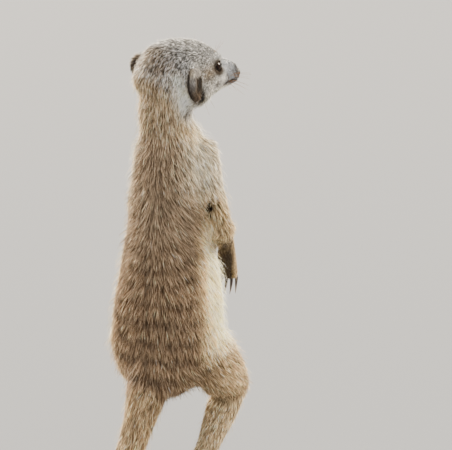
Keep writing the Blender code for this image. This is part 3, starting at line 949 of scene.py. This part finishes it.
def mark_limbs(colour, points, weights):
    """Tan forearms with painted rim light inside, palms dark with skin and painted shade, dark soles,
    painted shade in the digit grooves and elbow pits, and a dark end to the tail.
    """
    z = points[:, 2]
    arm = share_of(weights, "upper_arm", "forearm")
    inner_arm_rim_light = smoothstep(31, 27.5, round_body(points)[1]) * smoothstep(180, 170, z)
    tail_end = smoothstep(0.05, 0.35, share_along(points, *bones["tail_tip"]))
    colour = painted(
        colour,
        ((38, 30, 25), share_of(weights, "tail_tip") * tail_end),
        ((152, 131, 98), arm * smoothstep(200, 178, z)),
        # Painted rim light: the arm's inner side beside the flank is painted cream.
        ((220, 200, 160), arm * inner_arm_rim_light),
    )
    for side in SIDES:
        colour = mark_hand(colour, points, weights, side)
    return painted(
        colour,
        # Painted shade: the grooves between the digits are painted darker.
        ((48, 38, 31), 0.75 * digit_grooves(points) * share_of(weights, "hand", "foot")),
        ((60, 48, 42), share_of(weights, "foot") * smoothstep(3.5, 1.0, z)),
        # Painted shade: the pits behind the elbows are painted near black.
        ((26, 20, 15), smoothstep(0.05, 0.3, in_pit(points))),
    )


# The coat ----------------------------------------------------------------------------------------

STATIONS = np.array([0.0, 0.35, 0.7, 1.0])  # along a tuft
STATION_WIDTHS = np.array([0.7, 1.0, 0.72])
STATION_SHADES = np.array([0.28, 0.62, 0.95, 1.0])  # how bright a tuft is there
GUARD_SHADES = np.array([0.3, 0.75, 1.15, 1.3])
GUARD_BLEACH = np.array([0.0, 0.1, 0.3, 0.4])  # and how far a guard hair's colour has turned pale
TUFT_FACES = np.array([(0, 1, 3), (0, 3, 2), (2, 3, 5), (2, 5, 4), (4, 5, 6)])
POINTS_AT_STATION = (2, 2, 2, 1)
TUFT_POINTS = 7
MOST_TUFTS = 39_900  # in one piece
CLUMP = 4  # tufts to a clump, on average
PATCH = 0.003  # a tuft's width on the map
HALF_MAP = 0.49  # how much of the map's width one side's limb takes
OFF_BONE = (0.37, 0.9, 0.2)  # a direction that no bone lies along
GUARDS = 0.24  # share of tufts that are guard hairs, which lie on top and have pale tips
STRAYS = 0.06  # share of tufts that stand out of the coat
SUNK = 0.25  # how deep a root starts in the skin
TURN, BEND, ROLL = 0.13, 0.07, 0.6  # spreads of a tuft's direction, of its curve and of its ribbon's roll
# Ranges that a tuft's measures are drawn from, as shares of what its place calls for
LENGTHS, WIDTHS = (0.75, 1.15), (0.8, 1.2)
GUARD_HEIGHTS, CLUMP_HEIGHTS, UNDER_HEIGHTS = (0.85, 1.2), (0.4, 0.85), (0.8, 1.1)
STRAY_RISES = (0.15, 0.45)  # as shares of its length
PULLS = (0.25, 0.7)  # how far an under hair's tip is drawn to its leader's
GUARD_LENGTH, GUARD_WIDTH, STRAY_WIDTH = 1.15, 0.85, 0.55
LOWEST_LINE, LOWEST_POINT = 0.1, 0.05  # above the floor
PALE_TIP, GREY_TIP = srgb(234, 216, 186), srgb(222, 221, 219)


class Places:
    """Random places on a mesh, and what the mesh's point values are there."""

    def __init__(self, mesh, density, rng):
        mesh.calc_loop_triangles()
        tris = read(mesh.loop_triangles, "vertices", np.int32, 3)
        a, b, c = (points_of(mesh)[corner] for corner in tris.T)
        area = np.linalg.norm(np.cross(b - a, c - a), axis=1) / 2
        chance = np.cumsum(area * density[tris].mean(axis=1))
        count = int(chance[-1])
        ticks = (np.arange(count) + rng.random(count)) * chance[-1] / count
        self.tris = tris[np.minimum(np.searchsorted(chance, ticks), len(tris) - 1)]
        root, turn = np.sqrt(rng.random(count)), rng.random(count)
        self.shares = np.stack([1 - root, root * (1 - turn), root * turn], axis=1)

    def at(self, values):
        picked = values[self.tris]
        shares = self.shares[..., None] if picked.ndim == 3 else self.shares
        return np.sum(picked * shares, axis=1)


def leaders(roots, rng):
    """For each tuft, the tuft that its clump leans towards."""
    chosen = rng.choice(len(roots), max(1, len(roots) // CLUMP), replace=False)
    tree = KDTree(len(chosen))
    for i in chosen:
        tree.insert(roots[i], int(i))
    tree.balance()
    return np.array([tree.find(root)[1] for root in roots])


def tuft_lines(root, normal, lie, length, height, rng):
    """The middle line of each tuft, at every station."""
    count = len(root)
    turn = rng.normal(0, TURN, count)
    side = np.cross(normal, lie)
    way = lie * np.cos(turn)[:, None] + side * np.sin(turn)[:, None]
    s = STATIONS[None, :, None]
    rise = height[:, None, None] * (1 - (1 - s) ** 2)
    bend = (rng.normal(0, BEND, count) * length)[:, None, None] * s**2
    start = (root - normal * np.minimum(SUNK, 0.3 * height)[:, None])[:, None]
    reach = length[:, None, None] * s
    return start + way[:, None] * reach + normal[:, None] * rise + side[:, None] * bend


def clumped(lines, leader, pull):
    """Draws each tuft's tip towards its leader's."""
    gap = lines[leader][:, -1:] - lines[:, -1:]
    return lines + gap * pull[:, None, None] * STATIONS[None, :, None] ** 2


def ribbon_points(lines, normal, width, rng):
    """The points of each tuft's ribbon: two at each station and one at the tip."""
    way = unit(lines[:, -1] - lines[:, 0])
    roll = rng.normal(0, ROLL, len(lines))
    flat = unit(np.cross(normal, way))
    side = flat * np.cos(roll)[:, None] + normal * np.sin(roll)[:, None]
    half = side[:, None] * (width[:, None] * STATION_WIDTHS)[..., None] / 2
    pairs = np.stack([lines[:, :3] - half, lines[:, :3] + half], axis=2).reshape(len(lines), 6, 3)
    return np.concatenate([pairs, lines[:, 3:]], axis=1)


def ribbon_colours(colour, tip, bleach, contrast, pepper, guard, leader, rng):
    """Each tuft's colour: dark at the root, paler towards the tip, and palest on guard hairs."""
    count = len(colour)
    own = rng.normal(0, 1, count)
    light = np.exp(contrast * (0.5 * own + 0.5 * own[leader] + np.where(guard, 0.55, -0.35)))
    light = light * np.where(rng.random(count) < pepper, 0.28, 1)
    shade = np.repeat(np.where(guard[:, None], GUARD_SHADES, STATION_SHADES), POINTS_AT_STATION, axis=1)
    bleach = np.repeat(GUARD_BLEACH * (guard * bleach)[:, None], POINTS_AT_STATION, axis=1)
    tip = tip * colour.mean(axis=1, keepdims=True) ** 0.3
    base = colour[:, None] + (tip - colour)[:, None] * bleach[..., None]
    return np.clip(base * shade[..., None] * light[:, None, None], 0.004, 0.95)


def patch_map(u, v):
    """Every face corner's place on the map: a small patch for each tuft, at its root's place."""
    u, v = (PATCH + (1 - 2 * PATCH) * (x - x.min()) / (np.ptp(x) + 1e-9) for x in (u, v))
    across = np.array([-0.5, 0.5, -0.5, 0.5, -0.5, 0.5, 0.0]) * PATCH
    along = (np.repeat(STATIONS, POINTS_AT_STATION) - 0.5) * PATCH
    corners = np.stack([u[:, None] + across, v[:, None] + along], axis=2)
    return corners[:, TUFT_FACES.ravel()].reshape(-1, 2)


def ribbons(name, points, colours, places_on_map):
    """A mesh of tufts."""
    count = len(points)
    mesh = bpy.data.meshes.new(name)
    mesh.vertices.add(count * TUFT_POINTS)
    mesh.vertices.foreach_set("co", (points * MM).astype(np.float32).ravel())
    faces = (np.arange(count)[:, None, None] * TUFT_POINTS + TUFT_FACES).astype(np.int32)
    mesh.loops.add(faces.size)
    mesh.loops.foreach_set("vertex_index", faces.ravel())
    mesh.polygons.add(faces.size // 3)
    mesh.polygons.foreach_set("loop_start", np.arange(0, faces.size, 3, dtype=np.int32))
    mesh.update(calc_edges=True)
    mesh.shade_smooth()
    paint_points(mesh, colours.reshape(-1, 3))
    chart = mesh.uv_layers.new(name="OFBake")
    chart.data.foreach_set("uv", places_on_map.astype(np.float32).ravel())
    return mesh


def paint_points(mesh, colours):
    """Stores the markings, which the materials read, on a mesh's points."""
    layer = mesh.attributes.new("markings", "FLOAT_COLOR", "POINT")
    rgba = np.ones((len(colours), 4), np.float32)
    rgba[:, :3] = colours
    layer.data.foreach_set("color", rgba.ravel())


# Each coat piece: its regions, and the heights it spans where a region is divided between pieces.
PIECES = {
    "coat_crown": (("head",), (260, 999)),
    "coat_cheeks": (("head",), (0, 260)),
    "coat_ears": (("ear",), None),
    "coat_neck": (("neck",), None),
    "coat_shoulders": (("trunk",), (175, 999)),
    "coat_upper_trunk": (("trunk",), (140, 175)),
    "coat_middle_trunk": (("trunk",), (105, 140)),
    "coat_lower_trunk": (("trunk",), (0, 105)),
    "coat_arms": (("upper_arm", "forearm", "hand"), None),
    "coat_thighs": (("thigh",), None),
    "coat_feet": (("shank", "foot"), None),
    "coat_tail": (("tail", "tail_tip"), None),
}


def unwrap(roots, region):
    """Where each root is on an unwrap of the skin: round the part it grows on, and along it."""
    if region in ("head", "ear"):
        q = in_head(roots)
        round_it = np.arctan2(q[:, 0], q[:, 2]) / (2 * math.pi)
        return round_it, -np.arccos(unit(q)[:, 1])
    if region in ("neck", "trunk"):
        return round_body(roots)[0] / (2 * math.pi), roots[:, 2]
    return None


def limb_unwrap(roots, owners):
    """Round each limb's bone and down the limb. The left limb takes one half of the map."""
    u, v = np.zeros(len(roots)), np.zeros(len(roots))
    reach = {}
    for i, node in enumerate(flesh_nodes()):
        if node not in bones:
            continue
        mine = owners == i
        start, end = bones[node]
        side = node.split("_")[-1]
        chain = side if side in SIDES else "tail"
        done = reach.get(chain, 0.0)
        way, size = unit(end - start), np.linalg.norm(end - start)
        reach[chain] = done + size if mine.any() else done
        across = unit(np.cross(way, OFF_BONE))
        away = roots[mine] - start
        turn = np.arctan2(away @ across, away @ np.cross(way, across)) / (2 * math.pi) + 0.5
        v[mine] = done + away @ way
        u[mine] = turn if chain == "tail" else HALF_MAP * turn + (1 - HALF_MAP) * (side == "right")
    return u, -v


def tuft_sizes(length, width, height, leader, rng):
    """Each tuft's own length, width and height, its clump's pull, and whether it's a guard hair."""
    count = len(length)
    stray = rng.random(count) < STRAYS
    stray[leader] = False
    guard = (rng.random(count) < GUARDS) | stray
    length = length * rng.uniform(*LENGTHS, count) * np.where(guard, GUARD_LENGTH, 1)
    under = rng.uniform(*CLUMP_HEIGHTS, count)[leader] * rng.uniform(*UNDER_HEIGHTS, count)
    height = height * np.where(guard, rng.uniform(*GUARD_HEIGHTS, count), under)
    height = height + np.where(stray, length * rng.uniform(*STRAY_RISES, count), 0)
    width = width * rng.uniform(*WIDTHS, count)
    width = width * np.where(guard, GUARD_WIDTH, 1) * np.where(stray, STRAY_WIDTH, 1)
    return length, width, height, np.where(guard, 0.0, rng.uniform(*PULLS, count)), guard


def tufts(mesh, places, fields, colour, rng):
    """Each tuft's points and their colours."""
    root, normal = places.at(points_of(mesh)), unit(places.at(normals_of(mesh)))
    lie = square_to(places.at(fields["lie"]), normal)
    leader = leaders(root, rng)
    sizes = [places.at(fields[k]) for k in ("length", "width", "height")]
    length, width, height, pull, guard = tuft_sizes(*sizes, leader, rng)
    lines = clumped(tuft_lines(root, normal, lie, length, height, rng), leader, pull)
    lines[..., 2] = np.maximum(lines[..., 2], LOWEST_LINE)
    points = ribbon_points(lines, normal, width, rng)
    points[..., 2] = np.maximum(points[..., 2], LOWEST_POINT)
    tip = mixed(PALE_TIP, GREY_TIP, places.at(fields["grey"]))
    looks = [places.at(fields[k]) for k in ("bleach", "contrast", "pepper")]
    return points, ribbon_colours(places.at(colour), tip, *looks, guard, leader, rng)


def grow_coat(mesh, fields, owners, weights, colour):
    """All the coat's pieces."""
    rng = np.random.default_rng(SEED)
    fur = coat_material()
    places = Places(mesh, fields["density"], rng)
    root = places.at(points_of(mesh))
    points, paint = tufts(mesh, places, fields, colour, rng)
    region = np.argmax(places.at(weights), axis=1)
    owner = owners[places.tris[:, 0]]
    for name, (regions, heights) in PIECES.items():
        mine = np.isin(region, [REGION_NAMES.index(r) for r in regions])
        if heights:
            mine &= (root[:, 2] >= heights[0]) & (root[:, 2] < heights[1])
        mine = np.flatnonzero(mine)
        if len(mine) > MOST_TUFTS:
            mine = np.sort(rng.choice(mine, MOST_TUFTS, replace=False))
        spot = unwrap(root[mine], regions[0]) or limb_unwrap(root[mine], owner[mine])
        piece = new_object(name, ribbons(name, points[mine], paint[mine], patch_map(*spot)))
        piece.data.materials.append(fur)
        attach(piece, "root")


# Materials ---------------------------------------------------------------------------------------


def new_material(name):
    """A material, its node tree and its main shader."""
    material = bpy.data.materials.new(name)
    material.use_nodes = True
    tree = material.node_tree
    return material, tree, tree.nodes["Principled BSDF"]


def set_inputs(node, **values):
    """Sets a node's inputs, named as Blender names them with _ for a space."""
    for name, value in values.items():
        node.inputs[name.replace("_", " ")].default_value = value


def add_node(tree, kind, **values):
    node = tree.nodes.new(kind)
    set_inputs(node, **values)
    return node


def marks_colour(tree):
    """The colour stored on the mesh's points."""
    marks = add_node(tree, "ShaderNodeAttribute")
    marks.attribute_name = "markings"
    return marks.outputs["Color"]


def add_scale(tree, colour):
    """A node that multiplies a colour by its input named Scale."""
    node = add_node(tree, "ShaderNodeVectorMath")
    node.operation = "SCALE"
    tree.links.new(colour, node.inputs[0])
    return node


def add_bump(tree, shader, height, strength, distance):
    """Lets another node's output stand for the surface's fine relief."""
    relief = add_node(tree, "ShaderNodeBump", Strength=strength, Distance=distance)
    tree.links.new(height, relief.inputs["Height"])
    tree.links.new(relief.outputs["Normal"], shader.inputs["Normal"])


def add_texture(tree, kind, **values):
    """A texture in the object's own coordinates."""
    place = add_node(tree, "ShaderNodeTexCoord")
    texture = add_node(tree, kind, **values)
    tree.links.new(place.outputs["Object"], texture.inputs["Vector"])
    return texture


def add_glow(tree, shader, colour, share):
    """Lets that share of the light through, as thin hair does."""
    glow = add_node(tree, "ShaderNodeBsdfTranslucent")
    tree.links.new(colour, glow.inputs["Color"])
    mix = add_node(tree, "ShaderNodeMixShader", Fac=share)
    tree.links.new(shader.outputs[0], mix.inputs[1])
    tree.links.new(glow.outputs[0], mix.inputs[2])
    tree.links.new(mix.outputs[0], tree.nodes["Material Output"].inputs["Surface"])


def coat_material():
    material, tree, shader = new_material("fur")
    colour = marks_colour(tree)
    tree.links.new(colour, shader.inputs["Base Color"])
    set_inputs(shader, Roughness=0.55, Specular_IOR_Level=0.18)
    set_inputs(shader, Sheen_Weight=0.12, Sheen_Roughness=0.45, Sheen_Tint=(1.0, 0.93, 0.8, 1))
    bright = add_scale(tree, colour)
    set_inputs(bright, Scale=1.35)
    add_glow(tree, shader, bright.outputs["Vector"], 0.42)
    return material


def painted_material(name, roughness, gloss=0.5, glow=0.0, bump=None):
    """A finish coloured by the mesh's points. A bump is its scale, strength and depth."""
    material, tree, shader = new_material(name)
    colour = marks_colour(tree)
    tree.links.new(colour, shader.inputs["Base Color"])
    set_inputs(shader, Roughness=roughness, Specular_IOR_Level=gloss)
    if bump:
        scale, strength, depth = bump
        grain = add_texture(tree, "ShaderNodeTexVoronoi", Scale=scale)
        add_bump(tree, shader, grain.outputs["Distance"], strength, depth)
    if glow:
        add_glow(tree, shader, colour, glow)
    return material


def skin_material():
    """Short flat fur: streaky colour and a fine bump."""
    material, tree, shader = new_material("skin")
    speck = add_texture(tree, "ShaderNodeTexNoise", Scale=1800.0, Detail=2.0)
    shade = add_node(tree, "ShaderNodeMapRange", From_Min=0.3, From_Max=0.7, To_Min=0.65, To_Max=1.2)
    tree.links.new(speck.outputs["Fac"], shade.inputs["Value"])
    product = add_scale(tree, marks_colour(tree))
    tree.links.new(shade.outputs["Result"], product.inputs["Scale"])
    tree.links.new(product.outputs["Vector"], shader.inputs["Base Color"])
    add_bump(tree, shader, speck.outputs["Fac"], 0.6, 0.0003)
    set_inputs(shader, Roughness=0.8, Specular_IOR_Level=0.0)
    return material


# The bare parts: eyes, nose, claws and whiskers ---------------------------------------------------

PUPIL, IRIS = (0.30, 0.20), 0.62  # half angles from the gaze, in radians; the pupil is wider than high
CORNEA_RISE, CORNEA_ANGLE = 0.35, 0.55  # its bulge, and how far from the gaze it reaches
EYE_GRID, NOSE_GRID = (72, 96), (110, 140)  # rings and points to a ring
NOSE_RADII = (4.1, 3.9, 3.6)
NOSE_GROOVE, NOSTRIL_DEPTH = 0.0875, 0.325  # depths, as shares of the nose's radius
CLAW_STEPS, CLAW_RING = 14, 12
CLAW_ROOT = 1.2  # how far a claw starts inside its digit
CLAW_SIZES = {"hand": (0.95, 1.5), "foot": (0.95, 1.3)}  # half width and half depth at the root
CLAW_DARK, CLAW_PALE = srgb(44, 34, 29), srgb(120, 102, 84)
WHISKER_STEPS, WHISKER_RING = 8, 5
WHISKER_TAPER, WHISKER_TIP = 0.07, 0.025  # how much wider its root is than its tip, and the tip's radius
OFF_WHISKERS = (0.3, 0.3, 1.3)  # a direction that no whisker lies along
WHISKER_COLOUR = srgb(172, 132, 86)
# Roots and directions in head coordinates, lengths and droops
JAW_WHISKERS = [
    ((14.0, 17.0, -15.0), (0.55, 0.10, -1.0), 9.5, 0.8),
    ((13.0, 22.0, -15.0), (0.50, 0.45, -1.0), 8.0, 0.8),
    ((2.5, 46.0, -12.0), (0.25, 0.7, -0.8), 6.0, 0.6),
]


def ball(rings, ring):
    """A unit sphere's points, pole to pole along the first axis, and its faces."""
    polar = np.linspace(0, math.pi, rings + 1)[1:-1]
    around = np.arange(ring) * 2 * math.pi / ring
    body = np.stack([
        np.repeat(np.cos(polar), ring),
        np.outer(np.sin(polar), np.cos(around)).ravel(),
        np.outer(np.sin(polar), np.sin(around)).ravel(),
    ], axis=1)
    points = np.vstack([[1, 0, 0], body, [-1, 0, 0]])
    last = len(points) - 1
    faces = [(0, 1 + k, 1 + (k + 1) % ring) for k in range(ring)]
    for i in range(rings - 2):
        low, high = 1 + i * ring, 1 + (i + 1) * ring
        faces += [(low + k, high + k, high + (k + 1) % ring, low + (k + 1) % ring) for k in range(ring)]
    low = last - ring
    faces += [(low + k, last, low + (k + 1) % ring) for k in range(ring)]
    return points, faces


def add_piece(name, points, faces, colours, material, replaced):
    mesh = new_mesh(name, points, faces)
    mesh.shade_smooth()
    paint_points(mesh, colours)
    mesh.materials.append(material)
    piece = new_object(name, mesh)
    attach(piece, "root")
    if replaced:
        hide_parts(*replaced)


def add_eyes():
    """Dark brown eyes with a wide pupil under a clear cornea's bulge."""
    look = painted_material("eyeball", roughness=0.15, gloss=0.1)
    points, faces = ball(*EYE_GRID)
    angle = np.arccos(np.clip(points[:, 0], -1, 1))
    around = np.arctan2(points[:, 2], points[:, 1])
    pupil = np.hypot(angle * np.cos(around) / PUPIL[0], angle * np.sin(around) / PUPIL[1])
    streaks = 0.85 + 0.25 * np.sin(around * 23 + 2 * np.sin(around * 7)) * smoothstep(0.2, 0.5, angle)
    colour = painted(
        srgb(38, 23, 15) * streaks[:, None],
        ((16, 10, 8), smoothstep(IRIS - 0.12, IRIS, angle)),
        ((34, 24, 20), smoothstep(IRIS + 0.02, IRIS + 0.2, angle)),
        ((5, 4, 4), smoothstep(1.15, 0.95, pupil)),
    )
    radius = EYE_RADIUS - CORNEA_RISE + CORNEA_RISE * peak(angle / CORNEA_ANGLE)
    for side in SIDES:
        middle, axes = eye_frame(side)
        placed = middle + (points * radius[:, None]) @ axes
        turned = faces if np.linalg.det(axes) > 0 else [f[::-1] for f in faces]
        node = "eye_" + side
        add_piece(node + "_ball", placed, turned, colour, look, [node])


def nostrils(x, z):
    """How deep the nostrils are, each a round hole with a slit that curls down and out from it."""
    total = np.zeros(len(x))
    for mirror in MIRROR.values():
        out, up = mirror * x - 0.36, z + 0.06
        total += peak(out / 0.17, (up - 0.25 * out) / 0.13)
        out, up = mirror * x - 0.58, z + 0.22
        total += 0.9 * peak(out / 0.16, (up + 0.9 * out) / 0.08)
    return total


def add_nose():
    """Cobbled leather with a groove down its middle and two nostrils."""
    look = painted_material("leather", roughness=0.5, gloss=0.25, bump=(2600.0, 0.5, 0.00012))
    on_ball, faces = ball(*NOSE_GRID)
    y, x, z = on_ball.T
    ahead = smoothstep(-0.1, 0.5, y)
    groove = peak(x / 0.07) * smoothstep(0.55, -0.1, z) * ahead
    nostril = np.clip(nostrils(x, z) * ahead, 0, 1)
    shape = np.stack([x, y, z * (1 - 0.12 * np.abs(x))], axis=1) * NOSE_RADII
    shape = shape * (1 - NOSE_GROOVE * groove - NOSTRIL_DEPTH * nostril)[:, None]
    colour = srgb(34, 31, 31) * (1 + 0.15 * lumps(shape, 1.2, 5))[:, None]
    # Painted shade darkens the nostrils and the groove down the middle.
    colour = painted(colour, ((14, 10, 9), np.clip(nostril + 0.5 * groove, 0, 1)))
    placed = from_head(in_head(nose_centre()) + shape)
    add_piece("nose_pad", placed, faces, colour, look, ["nose"])


def claw_line(node, root):
    """Where a claw starts, its middle and its tip."""
    points = shapes[node][0]
    tip = farthest(points, root)
    start = points[np.argsort(how_far(points, root))[:6]].mean(axis=0)
    start = start + unit(root - start) * CLAW_ROOT
    along = share_along(points, start, tip)
    middle = points[(along > 0.3) & (along < 0.75)].mean(axis=0)
    return start, middle, tip


def tube(line, radii, across, ring):
    """The points and faces of a closed tube whose half width and half depth are given at each stop."""
    way = unit(np.gradient(line, axis=0))
    side = square_to(across, way)
    deep = np.cross(way, side)
    turn = np.arange(ring) * 2 * math.pi / ring
    rings = line[:, None] + (
        side[:, None] * np.cos(turn)[None, :, None] * radii[:, 0][:, None, None]
        + deep[:, None] * np.sin(turn)[None, :, None] * radii[:, 1][:, None, None]
    )
    count = len(line)
    faces = [
        (i * ring + k, i * ring + (k + 1) % ring, (i + 1) * ring + (k + 1) % ring, (i + 1) * ring + k)
        for i in range(count - 1)
        for k in range(ring)
    ]
    faces += [tuple(range(ring))[::-1], tuple((count - 1) * ring + k for k in range(ring))]
    return rings.reshape(-1, 3), faces


def claw(node, root, half_width, half_depth):
    """The points and faces of one curved claw."""
    t = np.linspace(0, 1, CLAW_STEPS)
    start, middle, tip = claw_line(node, root)
    bend = 2 * middle - (start + tip) / 2
    line = ((1 - t) ** 2)[:, None] * start + (2 * t * (1 - t))[:, None] * bend + (t**2)[:, None] * tip
    taper = ((1 - t**1.6) * 0.93 + 0.07) * (0.5 + 0.5 * smoothstep(0.0, 0.16, t))
    radii = np.stack([half_width * taper, half_depth * taper], axis=1)
    return tube(line, radii, LEFT, CLAW_RING)


def add_claws():
    """Curved horn claws, longer on the hands than on the feet, the four of each paw in one piece."""
    look = painted_material("horn", roughness=0.32, bump=(1500.0, 0.25, 0.00008))
    shades = mixed(CLAW_DARK, CLAW_PALE, smoothstep(0.35, 1.0, np.linspace(0, 1, CLAW_STEPS)))
    for paw, side in PAWS:
        root, nodes = bones[f"{paw}_{side}"][0], claw_nodes(paw, side)
        points, faces = joined([claw(node, root, *CLAW_SIZES[paw]) for node in nodes])
        colours = np.tile(np.repeat(shades, CLAW_RING, axis=0), (len(nodes), 1))
        add_piece(f"claws_{paw}_{side}", points, faces, colours, look, nodes)


def whisker_places():
    """Each whisker's root and direction in head coordinates, its length, and how far it droops."""
    rows = []
    for row, up in enumerate((-3.4, -5.2, -7.0)):
        for k in range(3):
            root = (6.2 + 0.4 * k, 45.0 - 3.0 * k - 0.8 * row, up)
            way = (0.75 + 0.1 * k, 0.85 - 0.35 * k, 0.12 - 0.22 * row)
            rows.append((root, way, 10 + 3 * k, 1.2))
    for k in range(3):
        root = (7.5 + 1.2 * k, 29.5 - 1.5 * k, 10.2 + 0.3 * k)
        rows.append((root, (0.35 + 0.2 * k, 0.75 - 0.5 * k, 0.9), 7.5 + k, -0.6))
    return rows + JAW_WHISKERS


def whisker(tree, side, root, way, length, droop):
    """The points and faces of one whisker, from where the skin is nearest to its root."""
    t = np.linspace(0, 1, WHISKER_STEPS)
    flip = (MIRROR[side], 1, 1)
    near = tree.find_nearest(Vector(from_head(np.multiply(root, flip)) * MM))[0]
    way = unit(np.multiply(way, flip)) @ head_way
    line = np.array(near) / MM + way * (t * length)[:, None] - UP * (droop * t**2)[:, None]
    radii = np.repeat(((1 - t) * WHISKER_TAPER + WHISKER_TIP)[:, None], 2, axis=1)
    return tube(line, radii, OFF_WHISKERS, WHISKER_RING)


def add_whiskers():
    """Stiff hairs on the muzzle, over the eyes and under the jaw."""
    look = painted_material("whisker", roughness=0.4, glow=0.45)
    tree = BVHTree.FromObject(skin, bpy.context.evaluated_depsgraph_get())
    points, faces = joined([whisker(tree, side, *row) for side in SIDES for row in whisker_places()])
    colours = np.tile(WHISKER_COLOUR, (len(points), 1))
    add_piece("whiskers", points, faces, colours, look, None)


# Start -------------------------------------------------------------------------------------------


def make_skin():
    """The whole animal's skin as one mesh, still at the solids' surface."""
    mesh = remeshed(swollen_nodes())
    web = Web(mesh)
    put_points(mesh, web.relax(points_of(mesh), SMOOTHINGS))
    spots = [(centre("eye_" + side), 12.0, 2) for side in SIDES] + [(centre("nose"), 9.0, 1)]
    spots += [(bones[f"{paw}_{side}"][1], 16.0, 1) for paw, side in PAWS]
    refine(mesh, spots)
    return mesh


def soften(mesh, web, weights):
    """Rounds off what the solids' few faces leave, most on the body, and keeps the shape's size."""
    start = points = points_of(mesh)
    firm = share_of(weights, "hand", "foot", "ear", "forearm", "shank")
    face = share_of(weights, "head") * smoothstep(12, 26, in_head(points)[:, 1])
    share = np.clip(1 - 0.85 * firm - 0.9 * face, 0, 1)[:, None]
    for _ in range(SOFTENINGS):
        points = points + share * 0.5 * (web.average(points) - points)
    put_points(mesh, points)
    normals = normals_of(mesh)
    lost = np.sum((start - points) * normals, axis=1)
    put_points(mesh, points + normals * web.spread(lost, SOFTENINGS)[:, None])


def add_skin(mesh, colour):
    """Shows the mesh as the skin, in place of the nodes it's made from except the eyes and nose."""
    paint_points(mesh, colour)
    mesh.shade_smooth()
    mesh.materials.clear()
    mesh.materials.append(skin_material())
    skin = new_object("skin", mesh)
    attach(skin, "root")
    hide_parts(*[n for n in flesh_nodes() if not n.startswith(("eye", "nose"))])
    return skin


shapes = {name: node_shape(name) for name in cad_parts}
head_centre, head_way = head_axes()
bones = find_bones()
mesh = make_skin()
web = Web(mesh)
owners = nearest_nodes(points_of(mesh))
weights = region_weights(web, owners)
depth = web.spread(depth_of_coat(points_of(mesh), weights), DEPTH_PASSES)
soften(mesh, web, weights)
inward = unit(web.spread(normals_of(mesh), NORMAL_PASSES)) * -depth[:, None]
put_points(mesh, web.relax(points_of(mesh) + inward, LAST_SMOOTHINGS))
sculpt(mesh)
points, normals = points_of(mesh), normals_of(mesh)
smooth_normals = unit(web.spread(normals, NORMAL_PASSES))
fields = coat_shape(points, normals, weights, depth) | coat_pattern(points, weights)
fields["lie"] = lie_of_coat(web, points, smooth_normals, owners)
colour = markings(points, weights)
# Painted shade: the skin is painted darker where the coat over it is deep.
skin = add_skin(mesh, colour * (1 - 0.45 * smoothstep(0.4, 2.0, depth))[:, None])
grow_coat(mesh, fields, owners, weights, colour)
add_eyes()
add_nose()
add_claws()
add_whiskers()


# Stage -------------------------------------------------------------------------------------------

CAMERA_AZIMUTH, CAMERA_ELEVATION = 205.0, 13.0
CAMERA_DISTANCE = 2280.0
LENS, SENSOR = 300.0, 36.0
AIM = (-35.9, -3.2, 169.2)  # what the camera looks at, from the body's axis on the floor
FLOOR_HALF = 20_000
FLOOR_COLOUR, FLOOR_GLOW, FLOOR_GLOW_COLOUR = (0.09, 0.09, 0.09, 1), 0.56, (1.0, 0.99, 0.97, 1)
SKY_COLOUR, SKY_STRENGTH = (0.95, 0.96, 0.96, 1), 0.85
LIT_HEIGHT = 170  # of the point that the lights face
WHITE, WARM = (1.0, 0.96, 0.91), (1.0, 0.87, 0.67)
# Each light's name, azimuth, elevation, distance and width in metres, power and colour
LIGHTS = (
    ("key", 215, 42, 1.6, 1.6, 29, WHITE),
    ("back_left", 62, 26, 4.0, 1.3, 820, WARM),
    ("back_right", -32, 30, 4.0, 1.3, 640, WARM),
)


def direction(azimuth, elevation):
    """From the animal outward: azimuth 0 is in front of its chest, and 90 on its left."""
    a, e = math.radians(azimuth), math.radians(elevation)
    return np.array([math.sin(a) * math.cos(e), -math.cos(a) * math.cos(e), math.sin(e)])


def add_camera():
    target = body_axis() + AIM
    back = direction(CAMERA_AZIMUTH, CAMERA_ELEVATION)
    camera = new_object("camera", bpy.data.cameras.new("camera"))
    camera.data.lens, camera.data.sensor_width = LENS, SENSOR
    camera.data.clip_start, camera.data.clip_end = 0.1, 100
    camera.location = Vector((target + back * CAMERA_DISTANCE) * MM)
    camera.rotation_euler = Vector(-back).to_track_quat("-Z", "Y").to_euler()
    bpy.context.scene.camera = camera


def add_light(name, azimuth, elevation, distance, size, power, colour):
    """A square soft light that faces the animal's chest."""
    light = bpy.data.lights.new(name, "AREA")
    light.shape, light.size, light.energy, light.color = "SQUARE", size, power, colour
    thing = new_object(name, light)
    way = direction(azimuth, elevation)
    thing.location = Vector((body_axis() + UP * LIT_HEIGHT) * MM) + Vector(way) * distance
    thing.rotation_euler = Vector(way).to_track_quat("Z", "Y").to_euler()


def add_stage():
    """A pale floor that gives off a little light of its own, under a pale sky."""
    corners = np.array([(-1, -1, 0), (1, -1, 0), (1, 1, 0), (-1, 1, 0)]) * FLOOR_HALF
    floor = new_object("floor", new_mesh("floor", corners, [(0, 1, 2, 3)]))
    material, _, shader = new_material("floor")
    set_inputs(shader, Base_Color=FLOOR_COLOUR, Roughness=1.0, Specular_IOR_Level=0.0)
    set_inputs(shader, Emission_Color=FLOOR_GLOW_COLOUR, Emission_Strength=FLOOR_GLOW)
    floor.data.materials.append(material)
    world = bpy.data.worlds.new("world")
    world.use_nodes = True
    set_inputs(world.node_tree.nodes["Background"], Color=SKY_COLOUR, Strength=SKY_STRENGTH)
    bpy.context.scene.world = world


add_camera()
add_stage()
for light in LIGHTS:
    add_light(*light)
